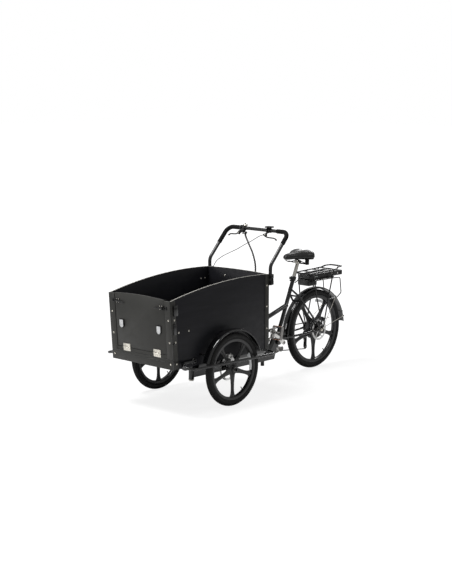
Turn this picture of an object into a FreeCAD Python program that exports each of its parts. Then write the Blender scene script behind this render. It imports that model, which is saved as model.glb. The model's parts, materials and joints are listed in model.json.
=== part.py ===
import FreeCAD, Part
import math
import os
import Sketcher
from FreeCAD import Placement, Rotation, Vector

# A front-steered cargo tricycle: an open box with a front hatch sits on a two-wheeled carriage,
# which turns on an upright kingpin at the front of the rear frame. +X is forward, +Y is the
# rider's left and +Z is up. The origin lies on the ground, under the middle of the whole cycle.
# All sizes are in millimetres.

doc = FreeCAD.newDocument("cargo_tricycle")
sheet = doc.addObject("Spreadsheet::Sheet", "dims")


class Size:
    """A length together with the spreadsheet formula that gives it."""

    def __init__(self, formula, value):
        self.formula = formula
        self.value = float(value)

    def combined(self, other, sign, result):
        return Size("(" + self.formula + " " + sign + " " + formula_of(other) + ")", result)

    def __float__(self):
        return self.value

    def __add__(self, other):
        return self.combined(other, "+", self.value + float(other))

    def __radd__(self, other):
        return self.combined(other, "+", self.value + float(other))

    def __sub__(self, other):
        return self.combined(other, "-", self.value - float(other))

    def __rsub__(self, other):
        return Size("(" + formula_of(other) + " - " + self.formula + ")", float(other) - self.value)

    def __mul__(self, other):
        return self.combined(other, "*", self.value * float(other))

    def __rmul__(self, other):
        return self.combined(other, "*", self.value * float(other))

    def __truediv__(self, other):
        return self.combined(other, "/", self.value / float(other))

    def __neg__(self):
        return Size("(-1 * " + self.formula + ")", -self.value)


def formula_of(amount):
    if isinstance(amount, Size):
        return amount.formula
    return "%.6g" % float(amount)


DRIVING_SIZES = {
    "front_axle_x": 560,
    "front_wheel_radius": 250,
    "half_track": 358,
    "rear_axle_x": -733,
    "rear_wheel_radius": 300.5,
    "tyre_width": 47,
    "bead_drop": 44.3,
    "rim_width": 32,
    "front_rim_inner": 188,
    "rear_rim_inner": 234,
    "spoke_width": 22,
    "spoke_thickness": 16,
    "axle_radius": 8,
    "running_gap": 0.05,
    "rotor_radius": 82,
    "rotor_thickness": 2,
    "front_rotor_y": 318,
    "rear_rotor_y": 56,
    "motor_radius": 68,
    "box_rear_x": 116,
    "box_front_x": 1047,
    "box_lean": 32,
    "box_half_width": 290,
    "box_bottom": 310,
    "box_front_top": 767,
    "box_rear_top": 841,
    "box_crown_x": 597,
    "box_crown_z": 838,
    "panel": 12,
    "post_width": 52,
    "profile": 2,
    "sill_top": 405,
    "hatch_gap": 3,
    "hatch_crown": 14,
    "kingpin_x": 590,
    "kingpin_radius": 12,
    "beam_bottom": 145,
    "beam_top": 195,
    "beam_width": 44,
    "crank_x": -302,
    "crank_z": 265,
    "crank_length": 170,
    "chain_y": -54,
    "chainring_radius": 85,
    "bar_radius": 12.5,
    "bar_x": 100,
    "bar_half_width": 291,
    "bar_top_x": -97,
    "bar_top": 1112,
    "guard_y": 412,
    "guard_height": 312,
    "guard_radius": 9,
    "rack_radius": 6,
    "rack_half_width": 74,
    "battery_top": 728,
    "battery_half_width": 56,
    "seat_tube_radius": 15,
    "seatpost_radius": 13.6,
}

for row, (alias, amount) in enumerate(DRIVING_SIZES.items(), start=1):
    sheet.set("A%d" % row, alias.replace("_", " "))
    sheet.set("B%d" % row, str(amount))
    sheet.setAlias("B%d" % row, alias)
doc.recompute()


def size(alias):
    return Size("dims." + alias, sheet.get(alias))


# ---------------------------------------------------------------- helpers


NODES = []


def node(item, label):
    """Name a finished sub-part: its label is the name of its file."""
    item.Label = label
    NODES.append(item)
    return item


def place(item, at, rotation=None):
    if rotation is not None:
        item.Placement = Placement(Vector(0, 0, 0), rotation)
    for axis, amount in zip("xyz", at):
        item.setExpression("Placement.Base." + axis, formula_of(amount))
    return item


def block(length, width, height, at, rotation=None):
    """A box with its lowest corner at the given point."""
    item = doc.addObject("Part::Box", "block")
    item.setExpression("Length", formula_of(length))
    item.setExpression("Width", formula_of(width))
    item.setExpression("Height", formula_of(height))
    return place(item, at, rotation)


def centred_block(length, width, height, centre, rotation=None):
    if rotation is not None:
        corner = rotation.multVec(Vector(-float(length) / 2, -float(width) / 2, -float(height) / 2))
        at = [amount + shift for amount, shift in zip(centre, corner)]
        return block(length, width, height, at, rotation)
    x, y, z = centre
    return block(length, width, height, (x - length / 2, y - width / 2, z - height / 2))


def disc(radius, depth, at, axis=(0, 1, 0)):
    """A cylinder that starts at the given point and runs along the axis."""
    item = doc.addObject("Part::Cylinder", "disc")
    item.setExpression("Radius", formula_of(radius))
    item.setExpression("Height", formula_of(depth))
    return place(item, at, Rotation(Vector(0, 0, 1), Vector(*axis)))


def rod(radius, start, end):
    """A round bar between two points."""
    run = Vector(*[float(b) - float(a) for a, b in zip(start, end)])
    return disc(radius, run.Length, start, tuple(run))


def ball(radius, at):
    item = doc.addObject("Part::Sphere", "ball")
    item.setExpression("Radius", formula_of(radius))
    return place(item, at)


def union(items):
    joined = items[0]
    for tool in items[1:]:
        item = doc.addObject("Part::Fuse", "union")
        item.Base = joined
        item.Tool = tool
        joined = item
    return joined


def cut(base, tool):
    item = doc.addObject("Part::Cut", "cut")
    item.Base = base
    item.Tool = tool
    return item


def group(items):
    """Separate solids kept together in one sub-part."""
    item = doc.addObject("Part::Compound", "group")
    item.Links = items
    return item


def shape_feature(shape):
    item = doc.addObject("Part::Feature", "shape")
    item.Shape = shape
    return item


def turned(item, axis, centre, degrees):
    """Turn a finished boolean or group about a line through the centre."""
    item.Placement = Placement(Vector(0, 0, 0), Rotation(Vector(*axis), degrees), Vector(*map(float, centre)))
    return item


def rounded_path(points, radius=None):
    """Straight runs joined by tangent arcs. With no radius, each arc is as large as its runs allow."""
    points = [Vector(*map(float, point)) for point in points]
    edges = []
    radii = []
    start = points[0]
    for before, corner, after in zip(points, points[1:], points[2:]):
        back = (before - corner).normalize()
        ahead = (after - corner).normalize()
        half_turn = (math.pi - back.getAngle(ahead)) / 2
        if radius is None:
            trim = 0.45 * min((before - corner).Length, (after - corner).Length)
        else:
            trim = radius * math.tan(half_turn)
        arc_radius = trim / math.tan(half_turn)
        radii.append(arc_radius)
        arc_start = corner + back * trim
        arc_end = corner + ahead * trim
        bisector = (back + ahead).normalize()
        middle = corner + bisector * (arc_radius / math.cos(half_turn) - arc_radius)
        edges.append(Part.LineSegment(start, arc_start).toShape())
        edges.append(Part.Arc(arc_start, middle, arc_end).toShape())
        start = arc_end
    edges.append(Part.LineSegment(start, points[-1]).toShape())
    return Part.Wire(edges), radii


def tube_shape(points, tube_radius, bend_radius=None):
    path, radii = rounded_path(points, bend_radius)
    start = Vector(*map(float, points[0]))
    run = Vector(*map(float, points[1])) - start
    section = Part.Wire([Part.Circle(start, run, float(tube_radius)).toShape()])
    return path.makePipeShell([section], True, False), path, radii


def tube(points, tube_radius, bend_radius):
    return shape_feature(tube_shape(points, tube_radius, bend_radius)[0])


def cable(points, cable_radius):
    """A cable along its route, with its bend radii and volume printed as a check."""
    shape, path, radii = tube_shape(points, cable_radius)
    expected = math.pi * float(cable_radius) ** 2 * path.Length
    print("cable length %.0f, least radius %.0f, volume ratio %.4f"
          % (path.Length, min(radii), shape.Volume / expected))
    return shape_feature(shape)


def new_body(name):
    return doc.addObject("PartDesign::Body", name)


def new_sketch(body, role, offset=0):
    sketch = body.newObject("Sketcher::SketchObject", "outline")
    plane = [item for item in body.Origin.OriginFeatures if item.Role == role][0]
    sketch.AttachmentSupport = [(plane, "")]
    sketch.MapMode = "FlatFace"
    sketch.setExpression("AttachmentOffset.Base.z", formula_of(offset))
    return sketch


def fix_point(sketch, element, end, point):
    for kind, amount in zip(("DistanceX", "DistanceY"), point):
        index = sketch.addConstraint(Sketcher.Constraint(kind, -1, 1, element, end, float(amount)))
        if isinstance(amount, Size):
            sketch.setExpression("Constraints[%d]" % index, amount.formula)


def outline(sketch, points, arcs=None):
    """A closed outline. arcs maps a side's number to the middle point of the arc that replaces it."""
    arcs = arcs or {}
    count = len(points)
    flat = [Vector(float(x), float(y), 0) for x, y in points]
    ends = []
    for side in range(count):
        first = flat[side]
        last = flat[(side + 1) % count]
        if side in arcs:
            middle = Vector(float(arcs[side][0]), float(arcs[side][1]), 0)
            arc = Part.Arc(first, middle, last)
            element = sketch.addGeometry(arc, False)
            drawn = sketch.Geometry[element]
            forward = (drawn.StartPoint - first).Length < 0.001
            ends.append((element, 1 if forward else 2, 2 if forward else 1))
        else:
            element = sketch.addGeometry(Part.LineSegment(first, last), False)
            ends.append((element, 1, 2))
    for side in range(count):
        element, first_end, last_end = ends[side]
        next_element, next_first, unused = ends[(side + 1) % count]
        sketch.addConstraint(Sketcher.Constraint("Coincident", element, last_end, next_element, next_first))
        fix_point(sketch, element, first_end, points[side])
        if side in arcs:
            radius = sketch.Geometry[element].Radius
            sketch.addConstraint(Sketcher.Constraint("Radius", element, radius))
    return sketch


def padded(name, role, points, depth, arcs=None, offset=0):
    """A body made by padding one outline."""
    body = new_body(name)
    sketch = new_sketch(body, role, offset)
    outline(sketch, points, arcs)
    pad = body.newObject("PartDesign::Pad", "pad")
    pad.Profile = sketch
    pad.setExpression("Length", formula_of(depth))
    return body


def revolved(name, role, points, arcs=None, axis="H_Axis"):
    """A body made by turning one outline about a sketch axis."""
    body = new_body(name)
    sketch = new_sketch(body, role)
    outline(sketch, points, arcs)
    revolution = body.newObject("PartDesign::Revolution", "revolution")
    revolution.Profile = sketch
    revolution.ReferenceAxis = (sketch, [axis])
    revolution.Angle = 360
    return body


SIDES = (("left", 1), ("right", -1))

front_axle = size("front_axle_x")
front_radius = size("front_wheel_radius")
half_track = size("half_track")
rear_axle = size("rear_axle_x")
rear_radius = size("rear_wheel_radius")
axle_radius = size("axle_radius")
running_gap = size("running_gap")
box_rear = size("box_rear_x")
box_front = size("box_front_x")
box_lean = size("box_lean")
box_side = size("box_half_width")
box_bottom = size("box_bottom")
panel = size("panel")
profile = size("profile")
kingpin_x = size("kingpin_x")
crank_x = size("crank_x")
crank_z = size("crank_z")
chain_y = size("chain_y")


# ---------------------------------------------------------------- wheels


def tyre(label, wheel_radius, centre):
    """A ring whose section is a circle cut flat at the rim."""
    half = size("tyre_width") / 2
    bead = wheel_radius - size("bead_drop")
    half_bead = 11
    body = revolved(label, "YZ_Plane", [(-half_bead, bead), (half_bead, bead)],
                    arcs={1: (0, wheel_radius)})
    place(body, centre)
    return node(body, label)


def mag_wheel(label, wheel_radius, rim_inner, hub_radius, hub_bore, hub_depth, centre, first_spoke):
    """A moulded wheel: a rim ring, a hub and five spokes."""
    rim_outer = wheel_radius - size("bead_drop")
    rim_width = size("rim_width")
    rim = cut(disc(rim_outer, rim_width, (0, -rim_width / 2, 0)),
              disc(rim_inner, rim_width * 2, (0, -rim_width, 0)))
    hub = disc(hub_radius, hub_depth, (0, -hub_depth / 2, 0))
    spokes = []
    for index in range(5):
        spoke = block(rim_inner + 4 - hub_radius * 0.7, size("spoke_thickness"), size("spoke_width"),
                      (hub_radius * 0.7, -size("spoke_thickness") / 2, -size("spoke_width") / 2))
        spokes.append(turned(group([spoke]), (0, -1, 0), (0, 0, 0), first_spoke + 72 * index))
    wheel = cut(union([rim, hub] + spokes), disc(hub_bore, hub_depth * 3, (0, -hub_depth * 1.5, 0)))
    place(wheel, centre)
    return node(wheel, label)


def rotor(label, centre, bore):
    """A brake disc: an outer braking ring on six arms."""
    thickness = size("rotor_thickness")
    radius = size("rotor_radius")
    ring = cut(disc(radius, thickness, (0, -thickness / 2, 0)),
               disc(radius - 16, thickness * 3, (0, -thickness * 1.5, 0)))
    carrier = disc(24, thickness, (0, -thickness / 2, 0))
    arms = [turned(group([block(radius - 30, thickness, 9, (18, -thickness / 2, -4.5))]),
                   (0, -1, 0), (0, 0, 0), 60 * index) for index in range(6)]
    disc_brake = cut(union([ring, carrier] + arms), disc(bore, 20, (0, -10, 0)))
    place(disc_brake, centre)
    return node(disc_brake, label)


front_hub_half = 27
for side, sign in SIDES:
    wheel_centre = (front_axle, half_track * sign, front_radius)
    tyre("front_tyre_" + side, front_radius, wheel_centre)
    mag_wheel("front_wheel_" + side, front_radius, size("front_rim_inner"), 30,
              axle_radius + running_gap, 2 * front_hub_half, wheel_centre, 270)
    rotor("front_rotor_" + side, (front_axle, size("front_rotor_y") * sign, front_radius), 14)

rear_centre = (rear_axle, 0, rear_radius)
tyre("rear_tyre", rear_radius, rear_centre)
mag_wheel("rear_wheel", rear_radius, size("rear_rim_inner"), 78, size("motor_radius") + 0.1,
          34, rear_centre, 270)
motor_shell = cut(union([disc(size("motor_radius"), 84, (0, -38, 0)),
                         disc(24, 15, (0, 40, 0))]),
                  disc(6 + running_gap, 200, (0, -100, 0)))
place(motor_shell, rear_centre)
node(motor_shell, "hub_motor")
rotor("rear_rotor", (rear_axle, size("rear_rotor_y"), rear_radius), 8)
cogs = cut(union([disc(radius, 2.2, (0, -43.5 - 3.8 * index, 0), (0, -1, 0))
                  for index, radius in enumerate((38, 34, 30, 26, 23, 20))]
                 + [disc(17, 26, (0, -39, 0), (0, -1, 0))]),
           disc(8, 200, (0, -100, 0)))
place(cogs, rear_centre)
node(cogs, "cassette")
axle = union([disc(6, 176, (0, -88, 0)), disc(11, 7, (0, 79.2, 0)), disc(11, 7, (0, -86.2, 0))])
place(axle, rear_centre)
node(axle, "rear_axle")


# ---------------------------------------------------------------- rear frame


head_radius = 19
head_bottom = 130
head_top = 222
seat_top_x = -490.2
seat_top_z = 705
beam_half = size("beam_width") / 2
beam = padded("beam", "XZ_Plane",
              [(kingpin_x, size("beam_bottom")), (kingpin_x, size("beam_top")),
               (-205, size("beam_top")), (-272, crank_z + 16),
               (-318, crank_z + 12), (-322, crank_z - 14), (-285, 222),
               (-257, size("beam_bottom") - 4)],
              size("beam_width"))
place(beam, (0, beam_half, 0))
seat_tube = rod(size("seat_tube_radius"), (crank_x, 0, crank_z), (seat_top_x, 0, seat_top_z))
top_tube = tube([(-415, 0, 521), (-160, 0, 443), (-62, 0, 178)], 16, 60)
head_tube = disc(head_radius, head_top - head_bottom, (kingpin_x, 0, head_bottom), (0, 0, 1))
crank_shell = disc(21, 68, (crank_x, -34, crank_z))
stays = []
for side, sign in SIDES:
    stays.append(tube([(-316, 18 * sign, 276), (-396, 42 * sign, 287), (-560, 67 * sign, 295),
                       (-706, 76 * sign, 300.5)], 8.5, 120))
    stays.append(tube([(-458, 10 * sign, 634), (-512, 44 * sign, 577), (-716, 76 * sign, 320)], 7.5, 60))
    stays.append(block(50, 6, 46, (rear_axle - 22, 76 * sign - 3, rear_radius - 19)))
seat_bridge = rod(7, (-512, -44, 577), (-512, 44, 577))
stay_bridge = rod(7, (-372, -34, 284), (-372, 34, 284))
beam_foot = disc(14, 42, (-150, 0, 105), (0, 0, 1))
frame_tubes = union([beam, seat_tube, top_tube, head_tube, crank_shell, seat_bridge, stay_bridge,
                     beam_foot] + stays)
frame_bores = union([disc(size("kingpin_radius") + running_gap, 200, (kingpin_x, 0, 60), (0, 0, 1)),
                     disc(10 + running_gap, 200, (crank_x, -100, crank_z)),
                     disc(6, 200, (rear_axle, -100, rear_radius)),
                     rod(size("seatpost_radius") + 0.1,
                         (-380.6, 0, 448.9), (seat_top_x - 8, 0, seat_top_z + 18.7))])
node(cut(frame_tubes, frame_bores), "rear_frame")

kingpin = revolved("steering_kingpin", "XZ_Plane",
                   [(0, 120), (17, 120), (17, 129.6), (12, 129.6), (12, 222.3), (18, 222.3),
                    (18, 231.9), (12, 231.9), (12, 266), (0, 266)], axis="V_Axis")
place(kingpin, (kingpin_x, 0, 0))
node(kingpin, "steering_kingpin")


def mudguard(inner_radius, half_width, first_angle, last_angle, centre):
    """A curved strip with turned-down edges, swept about the wheel's axle."""
    outer = inner_radius + 12
    wall = 2
    section = [(half_width, inner_radius), (half_width, inner_radius + 7), (half_width - 14, outer),
               (-half_width + 14, outer), (-half_width, inner_radius + 7), (-half_width, inner_radius),
               (-half_width + wall, inner_radius), (-half_width + wall, inner_radius + 6),
               (-half_width + 15, outer - wall), (half_width - 15, outer - wall),
               (half_width - wall, inner_radius + 6), (half_width - wall, inner_radius)]
    corners = [Vector(0, y, radius) for y, radius in section]
    face = Part.Face(Part.Wire(Part.makePolygon(corners + corners[:1])))
    face.rotate(Vector(0, 0, 0), Vector(0, 1, 0), 90 - first_angle)
    guard = face.revolve(Vector(0, 0, 0), Vector(0, 1, 0), -(last_angle - first_angle))
    feature = shape_feature(guard)
    place(feature, centre)
    return feature


rear_guard_radius = 330
rear_guard_x = rear_axle - 4
rear_guard_z = 279
node(mudguard(rear_guard_radius, 31, -3, 174, (rear_guard_x, 0, rear_guard_z)), "rear_mudguard")
stay_rods = []
for side, sign in SIDES:
    for angle in (14, 48):
        reach = rear_guard_radius + 2
        stay_rods.append(rod(2.2, (rear_axle - 18, 82 * sign, 314),
                             (rear_guard_x - reach * math.cos(math.radians(angle)), 33.4 * sign,
                              rear_guard_z + reach * math.sin(math.radians(angle)))))
node(group(stay_rods), "rear_mudguard_stays")
node(centred_block(7, 28, 36, (-1072.6, 0, 381)), "rear_reflector")


# ---------------------------------------------------------------- rack and battery


rack_radius = size("rack_radius")
rack_side = size("rack_half_width")
loop_side = 58
rack_front = -592
rack_parts = [tube([(rack_front, -rack_side, 738), (-915, -rack_side, 746), (-950, -loop_side - 4, 757),
                    (-1002, -loop_side, 757), (-1002, loop_side, 757), (-950, loop_side + 4, 757),
                    (-915, rack_side, 746), (rack_front, rack_side, 738)], rack_radius, 18),
              rod(rack_radius, (rack_front, -rack_side, 738), (rack_front, rack_side, 738)),
              rod(5, (rack_front, 0, 738), (-892, 0, 745.5))]
for cross_x, cross_z in ((-690, 740.4), (-790, 742.9), (-890, 745.4)):
    rack_parts.append(rod(5, (cross_x, -rack_side, cross_z), (cross_x, rack_side, cross_z)))
for side, sign in SIDES:
    rack_parts.append(tube([(-640, 75 * sign, 739), (-668, 82 * sign, 560), (-742, 84 * sign, 318)], 5, 80))
    rack_parts.append(tube([(-880, 75 * sign, 745), (-812, 84 * sign, 560), (-752, 84 * sign, 326)], 5, 80))
    rack_parts.append(tube([(-644, 80 * sign, 684), (-868, 82 * sign, 682), (-944, 84 * sign, 680),
                            (-961, 84 * sign, 560), (-913, 84 * sign, 530), (-800, 84 * sign, 524)], 4, 18))
    rack_parts.append(tube([(-494, 13.6 * sign, 680), (-545, 40 * sign, 722), (rack_front - 2, 56 * sign, 738)],
                           4, 30))
node(union(rack_parts), "luggage_rack")

battery_side = size("battery_half_width")
battery_top = size("battery_top")
node(union([block(300, 2 * battery_side, 14, (-910, -battery_side, battery_top - 52)),
            block(96, 2 * battery_side, 46, (-704, -battery_side, battery_top - 84))]), "battery_dock")
battery = union([block(390, 2 * battery_side - 4, 37, (-1012 - 0.5, -battery_side + 2, battery_top - 37.5)),
                 block(30, 60, 20, (-1036, -30, battery_top - 30))])
node(battery, "battery_pack")


# ---------------------------------------------------------------- drive


chainring = size("chainring_radius")
crank_angle = 36
crank_length = size("crank_length")
pedal_reach = crank_length * math.cos(math.radians(crank_angle))
pedal_rise = crank_length * math.sin(math.radians(crank_angle))
pedal_y = 132
spindle_length = 102
arm_depth = 12
crank_parts = [disc(10, 150, (crank_x, -75, crank_z)),
               cut(disc(chainring - 4, 3, (crank_x, chain_y - 1.5, crank_z)),
                   disc(chainring - 22, 9, (crank_x, chain_y - 4.5, crank_z)))]
for index in range(5):
    spider_arm = group([block(chainring - 24, 5, 16, (crank_x + 8, -59, crank_z - 8))])
    crank_parts.append(turned(spider_arm, (0, -1, 0), (crank_x, 0, crank_z), crank_angle + 72 * index))
for side, sign in SIDES:
    pedal_x = crank_x + sign * pedal_reach
    pedal_z = crank_z + sign * pedal_rise
    arm_y = 68 if sign > 0 else -80
    spindle_y = arm_y + arm_depth / 2
    arm = group([block(crank_length, arm_depth, 24, (crank_x, arm_y, crank_z - 12))])
    crank_parts.append(turned(arm, (0, -1, 0), (crank_x, arm_y, crank_z),
                              crank_angle if sign > 0 else crank_angle + 180))
    crank_parts.append(disc(17, 14, (crank_x, arm_y - 1, crank_z)))
    crank_parts.append(disc(13, arm_depth, (pedal_x, arm_y, pedal_z)))
    crank_parts.append(disc(4, spindle_length, (pedal_x, spindle_y, pedal_z), (0, sign, 0)))
node(union(crank_parts), "crankset")
pedal_tilt = {"left": 78, "right": 10}
for side, sign in SIDES:
    pedal_centre = (crank_x + sign * pedal_reach, sign * pedal_y, crank_z + sign * pedal_rise)
    cage = union([block(100, 10, 26, (-50, -45, -13)), block(100, 10, 26, (-50, 35, -13)),
                  disc(12, 80, (0, -40, 0)), block(12, 80, 20, (-50, -40, -10)),
                  block(12, 80, 20, (38, -40, -10))])
    pedal = cut(cage, disc(4 + running_gap, 140, (0, -70, 0)))
    place(pedal, pedal_centre, Rotation(Vector(0, 1, 0), pedal_tilt[side]))
    node(pedal, "pedal_" + side)

# Each wheel is its x, its z and the chain's radius round it, negative where the chain goes round backwards.
CASSETTE_PITCH_RADIUS = 42
PULLEY_PITCH_RADIUS = 19
PULLEY_RADIUS = 14
guide_pulley = (-702, 226)
tension_pulley = (-700, 158)
chain_wheels = [(float(crank_x), float(crank_z), float(chainring)),
                (float(rear_axle), float(rear_radius), CASSETTE_PITCH_RADIUS),
                (*guide_pulley, -PULLEY_PITCH_RADIUS), (*tension_pulley, PULLEY_PITCH_RADIUS)]


def belt_runs(wheels):
    """Straight runs of a belt that goes anticlockwise round positive wheels, clockwise round negative."""
    runs = []
    for (x1, z1, r1), (x2, z2, r2) in zip(wheels, wheels[1:] + wheels[:1]):
        ahead = Vector(x2 - x1, 0, z2 - z1)
        distance = ahead.Length
        ahead = ahead / distance
        left = Vector(-ahead.z, 0, ahead.x)
        across = (r2 - r1) / distance
        normal = ahead * across + left * math.sqrt(1 - across * across)
        runs.append((Vector(x1, 0, z1) - normal * r1, Vector(x2, 0, z2) - normal * r2))
    return runs


def belt_path(wheels):
    runs = belt_runs(wheels)
    edges = []
    for index, (start, end) in enumerate(runs):
        edges.append(Part.LineSegment(start, end).toShape())
        x, z, signed_radius = wheels[(index + 1) % len(wheels)]
        following = runs[(index + 1) % len(runs)][0]
        centre = Vector(x, 0, z)
        first = math.atan2(end.z - z, end.x - x)
        last = math.atan2(following.z - z, following.x - x)
        sweep = last - first
        if signed_radius > 0 and sweep < 0:
            sweep += 2 * math.pi
        if signed_radius < 0 and sweep > 0:
            sweep -= 2 * math.pi
        middle_angle = first + sweep / 2
        middle = centre + Vector(math.cos(middle_angle), 0, math.sin(middle_angle)) * abs(signed_radius)
        edges.append(Part.Arc(end, middle, following).toShape())
    return Part.Wire(edges)


chain_path = belt_path(chain_wheels)
chain_start = chain_path.Edges[0].Vertexes[0].Point
chain_run = chain_path.Edges[0].tangentAt(chain_path.Edges[0].FirstParameter)
chain_side = Vector(0, 3.5, 0)
chain_up = chain_side.cross(chain_run).normalize() * 3.6
chain_corners = [chain_start + chain_side + chain_up, chain_start - chain_side + chain_up,
                 chain_start - chain_side - chain_up, chain_start + chain_side - chain_up]
chain_section = Part.makePolygon(chain_corners + chain_corners[:1])
chain = shape_feature(chain_path.makePipeShell([chain_section], True, True))
place(chain, (0, chain_y, 0))
node(chain, "chain")

derailleur_parts = [block(16, 2.4, 92, (-709, chain_y - 8, 146)), block(16, 2.4, 92, (-709, chain_y + 5.6, 146)),
                    rod(7, (-703, -62, 232), (-728, -84, 264)), block(16, 8, 28, (-738, -87.5, 258))]
for pulley_x, pulley_z in (guide_pulley, tension_pulley):
    derailleur_parts.append(disc(PULLEY_RADIUS, 3, (pulley_x, chain_y - 1.5, pulley_z)))
    derailleur_parts.append(disc(4, 14, (pulley_x, chain_y - 7, pulley_z)))
node(union(derailleur_parts), "rear_derailleur")


def caliper(rotor_y, axle_x, axle_z, angle, sign):
    """A disc brake caliper whose slot straddles the rotor's rim."""
    shell = cut(block(26, 30, 48, (70, -15, -24)), block(16, 7, 60, (68, -3.5, -30)))
    arm = union([shell, disc(9, 8, (82, 15 * sign, 0), (0, sign, 0))])
    arm.Placement = Placement(Vector(float(axle_x), float(rotor_y), float(axle_z)),
                              Rotation(Vector(0, -1, 0), angle))
    return arm


node(caliper(size("rear_rotor_y"), rear_axle, rear_radius, 115, -1), "rear_brake_caliper")


# ---------------------------------------------------------------- saddle


clamp_low = (-487.2, 0, 698)
clamp_high = (-498.7, 0, 725)
clamp_ear_x = -468.2
clamp_ear_z = 718
clamp_ear = centred_block(20, 22, 20, (clamp_ear_x, 0, clamp_ear_z))
seat_collar = cut(union([rod(20, clamp_low, clamp_high), clamp_ear]),
                  rod(size("seat_tube_radius") + 0.1, (-480.2, 0, 681.6), (-510.2, 0, 751.8)))
node(seat_collar, "seat_clamp")
lever_root_x = -464
node(union([rod(2.4, (lever_root_x, 11.5, clamp_ear_z), (lever_root_x, 19, clamp_ear_z)),
            disc(5.5, 12, (lever_root_x, 19, clamp_ear_z - 6), (0, 0, 1)),
            rod(4.5, (lever_root_x, 19, clamp_ear_z), (-422, 25, 705))]),
     "seat_clamp_lever")
post_run = Vector(-198, 0, 463).normalize()
post_low = Vector(float(crank_x), 0, float(crank_z)) + post_run * 262
post_high = Vector(float(crank_x), 0, float(crank_z)) + post_run * 614
saddle_post = union([rod(size("seatpost_radius"), tuple(post_low), tuple(post_high)),
                     centred_block(44, 34, 22, (post_high.x, 0, post_high.z + 4))])
node(saddle_post, "seatpost")


def saddle_solid():
    """Cross sections from nose to tail, lofted into a closed pad."""
    stations = [(-392, 18, 866, 26), (-410, 25, 862, 40), (-445, 31, 861, 44), (-482, 42, 860, 48),
                (-520, 68, 857, 54), (-556, 94, 853, 64), (-590, 108, 850, 70), (-618, 104, 852, 66),
                (-634, 84, 860, 50)]
    wires = []
    for x, half, low, high in stations:
        crown = Vector(x, 0, low + high)
        sides = [Vector(x, half, low + high * 0.35), Vector(x, -half, low + high * 0.35)]
        top = Part.Arc(sides[0], crown, sides[1]).toShape()
        bottom = Part.Arc(sides[1], Vector(x, 0, low), sides[0]).toShape()
        wires.append(Part.Wire([top, bottom]))
    return Part.makeLoft(wires, True, False)


node(shape_feature(saddle_solid()), "saddle")
spring_parts = []
coil_x = -590
coil_y = 50
for side, sign in SIDES:
    spring_parts.append(tube([(-422, 14 * sign, 852), (-465, 22 * sign, 838), (-545, 22 * sign, 838),
                              (coil_x, coil_y * sign, 816)], 3.5, 30))
    spring_parts.append(disc(17, 44, (coil_x, coil_y * sign, 808), (0, 0, 1)))
spring_parts.append(rod(5, (coil_x, -coil_y, 814), (coil_x, coil_y, 814)))
node(union(spring_parts), "saddle_springs")


# ---------------------------------------------------------------- carriage


lean = math.degrees(math.atan2(float(box_lean), float(size("box_front_top") - box_bottom)))
LEAN = Rotation(Vector(0, 1, 0), lean)


def on_front(item):
    """Stand a piece built against the plane x = 0 on the leaning front of the box."""
    return place(item, (box_front, 0, box_bottom), LEAN)


axle_beam_bottom = 234
axle_beam_top = 266
axle_beam_half = 294
axle_beam_depth = 60
axle_beam_rear = kingpin_x - 45
rail_length = 790
rail_bottom = 284
rail_depth = 26
carriage_parts = [block(axle_beam_depth, 2 * axle_beam_half, axle_beam_top - axle_beam_bottom,
                        (axle_beam_rear, -axle_beam_half, axle_beam_bottom))]
for side, sign in SIDES:
    carriage_parts.append(block(rail_length, 30, rail_depth, (box_rear + 12, 255 * sign - 15, rail_bottom)))
    carriage_parts.append(block(axle_beam_depth, 40, 20, (axle_beam_rear, 250 * sign - 20, axle_beam_top - 1)))
    carriage_parts.append(disc(axle_radius, 104, (front_axle, 290 * sign, front_radius), (0, sign, 0)))
    carriage_parts.append(disc(15, 12, (front_axle, 293 * sign, front_radius), (0, sign, 0)))
    carriage_parts.append(disc(13, 9, (front_axle, 386 * sign, front_radius), (0, sign, 0)))
    carriage_parts.append(block(30, 4.2, 88, (front_axle - 30, 292.8 * sign - 2.1, 250)))
for cross_x in (130, 545, 870):
    carriage_parts.append(block(30, 520, rail_depth, (cross_x, -260, rail_bottom)))
carriage_frame = cut(union(carriage_parts), disc(size("kingpin_radius"), 220, (kingpin_x, 0, 100), (0, 0, 1)))
node(carriage_frame, "carriage_frame")

node(group([caliper(size("front_rotor_y") * sign, front_axle, front_radius, 100, -sign)
            for side, sign in SIDES]), "front_brake_calipers")

front_guard_radius = 266
front_guards = []
for side, sign in SIDES:
    guard = mudguard(front_guard_radius, 30, 17, 160, (front_axle, half_track * sign, front_radius))
    front_guards.append(guard)
    for angle in (30, 142):
        reach = front_guard_radius + 9
        x = front_axle + reach * math.cos(math.radians(angle))
        z = front_radius + reach * math.sin(math.radians(angle))
        front_guards.append(block(24, 38, 3, (x - 12, 290 if sign > 0 else -328, z - 9)))
node(group(front_guards), "front_mudguards")

guard_y = size("guard_y")
guard_height = size("guard_height")
guard_inner_y = 302
guard_bars = []
for side, sign in SIDES:
    guard_bars.append(tube([(850, guard_inner_y * sign, 345), (1012, guard_inner_y * sign, 346),
                            (1002, guard_y * sign, guard_height + 11), (165, guard_y * sign, guard_height - 5),
                            (165, guard_inner_y * sign, 318), (270, guard_inner_y * sign, 322)],
                           size("guard_radius"), 52))
    for tab_x, tab_z in ((866, 326), (240, 306)):
        guard_bars.append(block(28, 3.4, 36, (tab_x - 14, 291.9 * sign - 1.7, tab_z)))
node(group([union(guard_bars[:3]), union(guard_bars[3:])]), "guard_bars")


# ---------------------------------------------------------------- box


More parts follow.
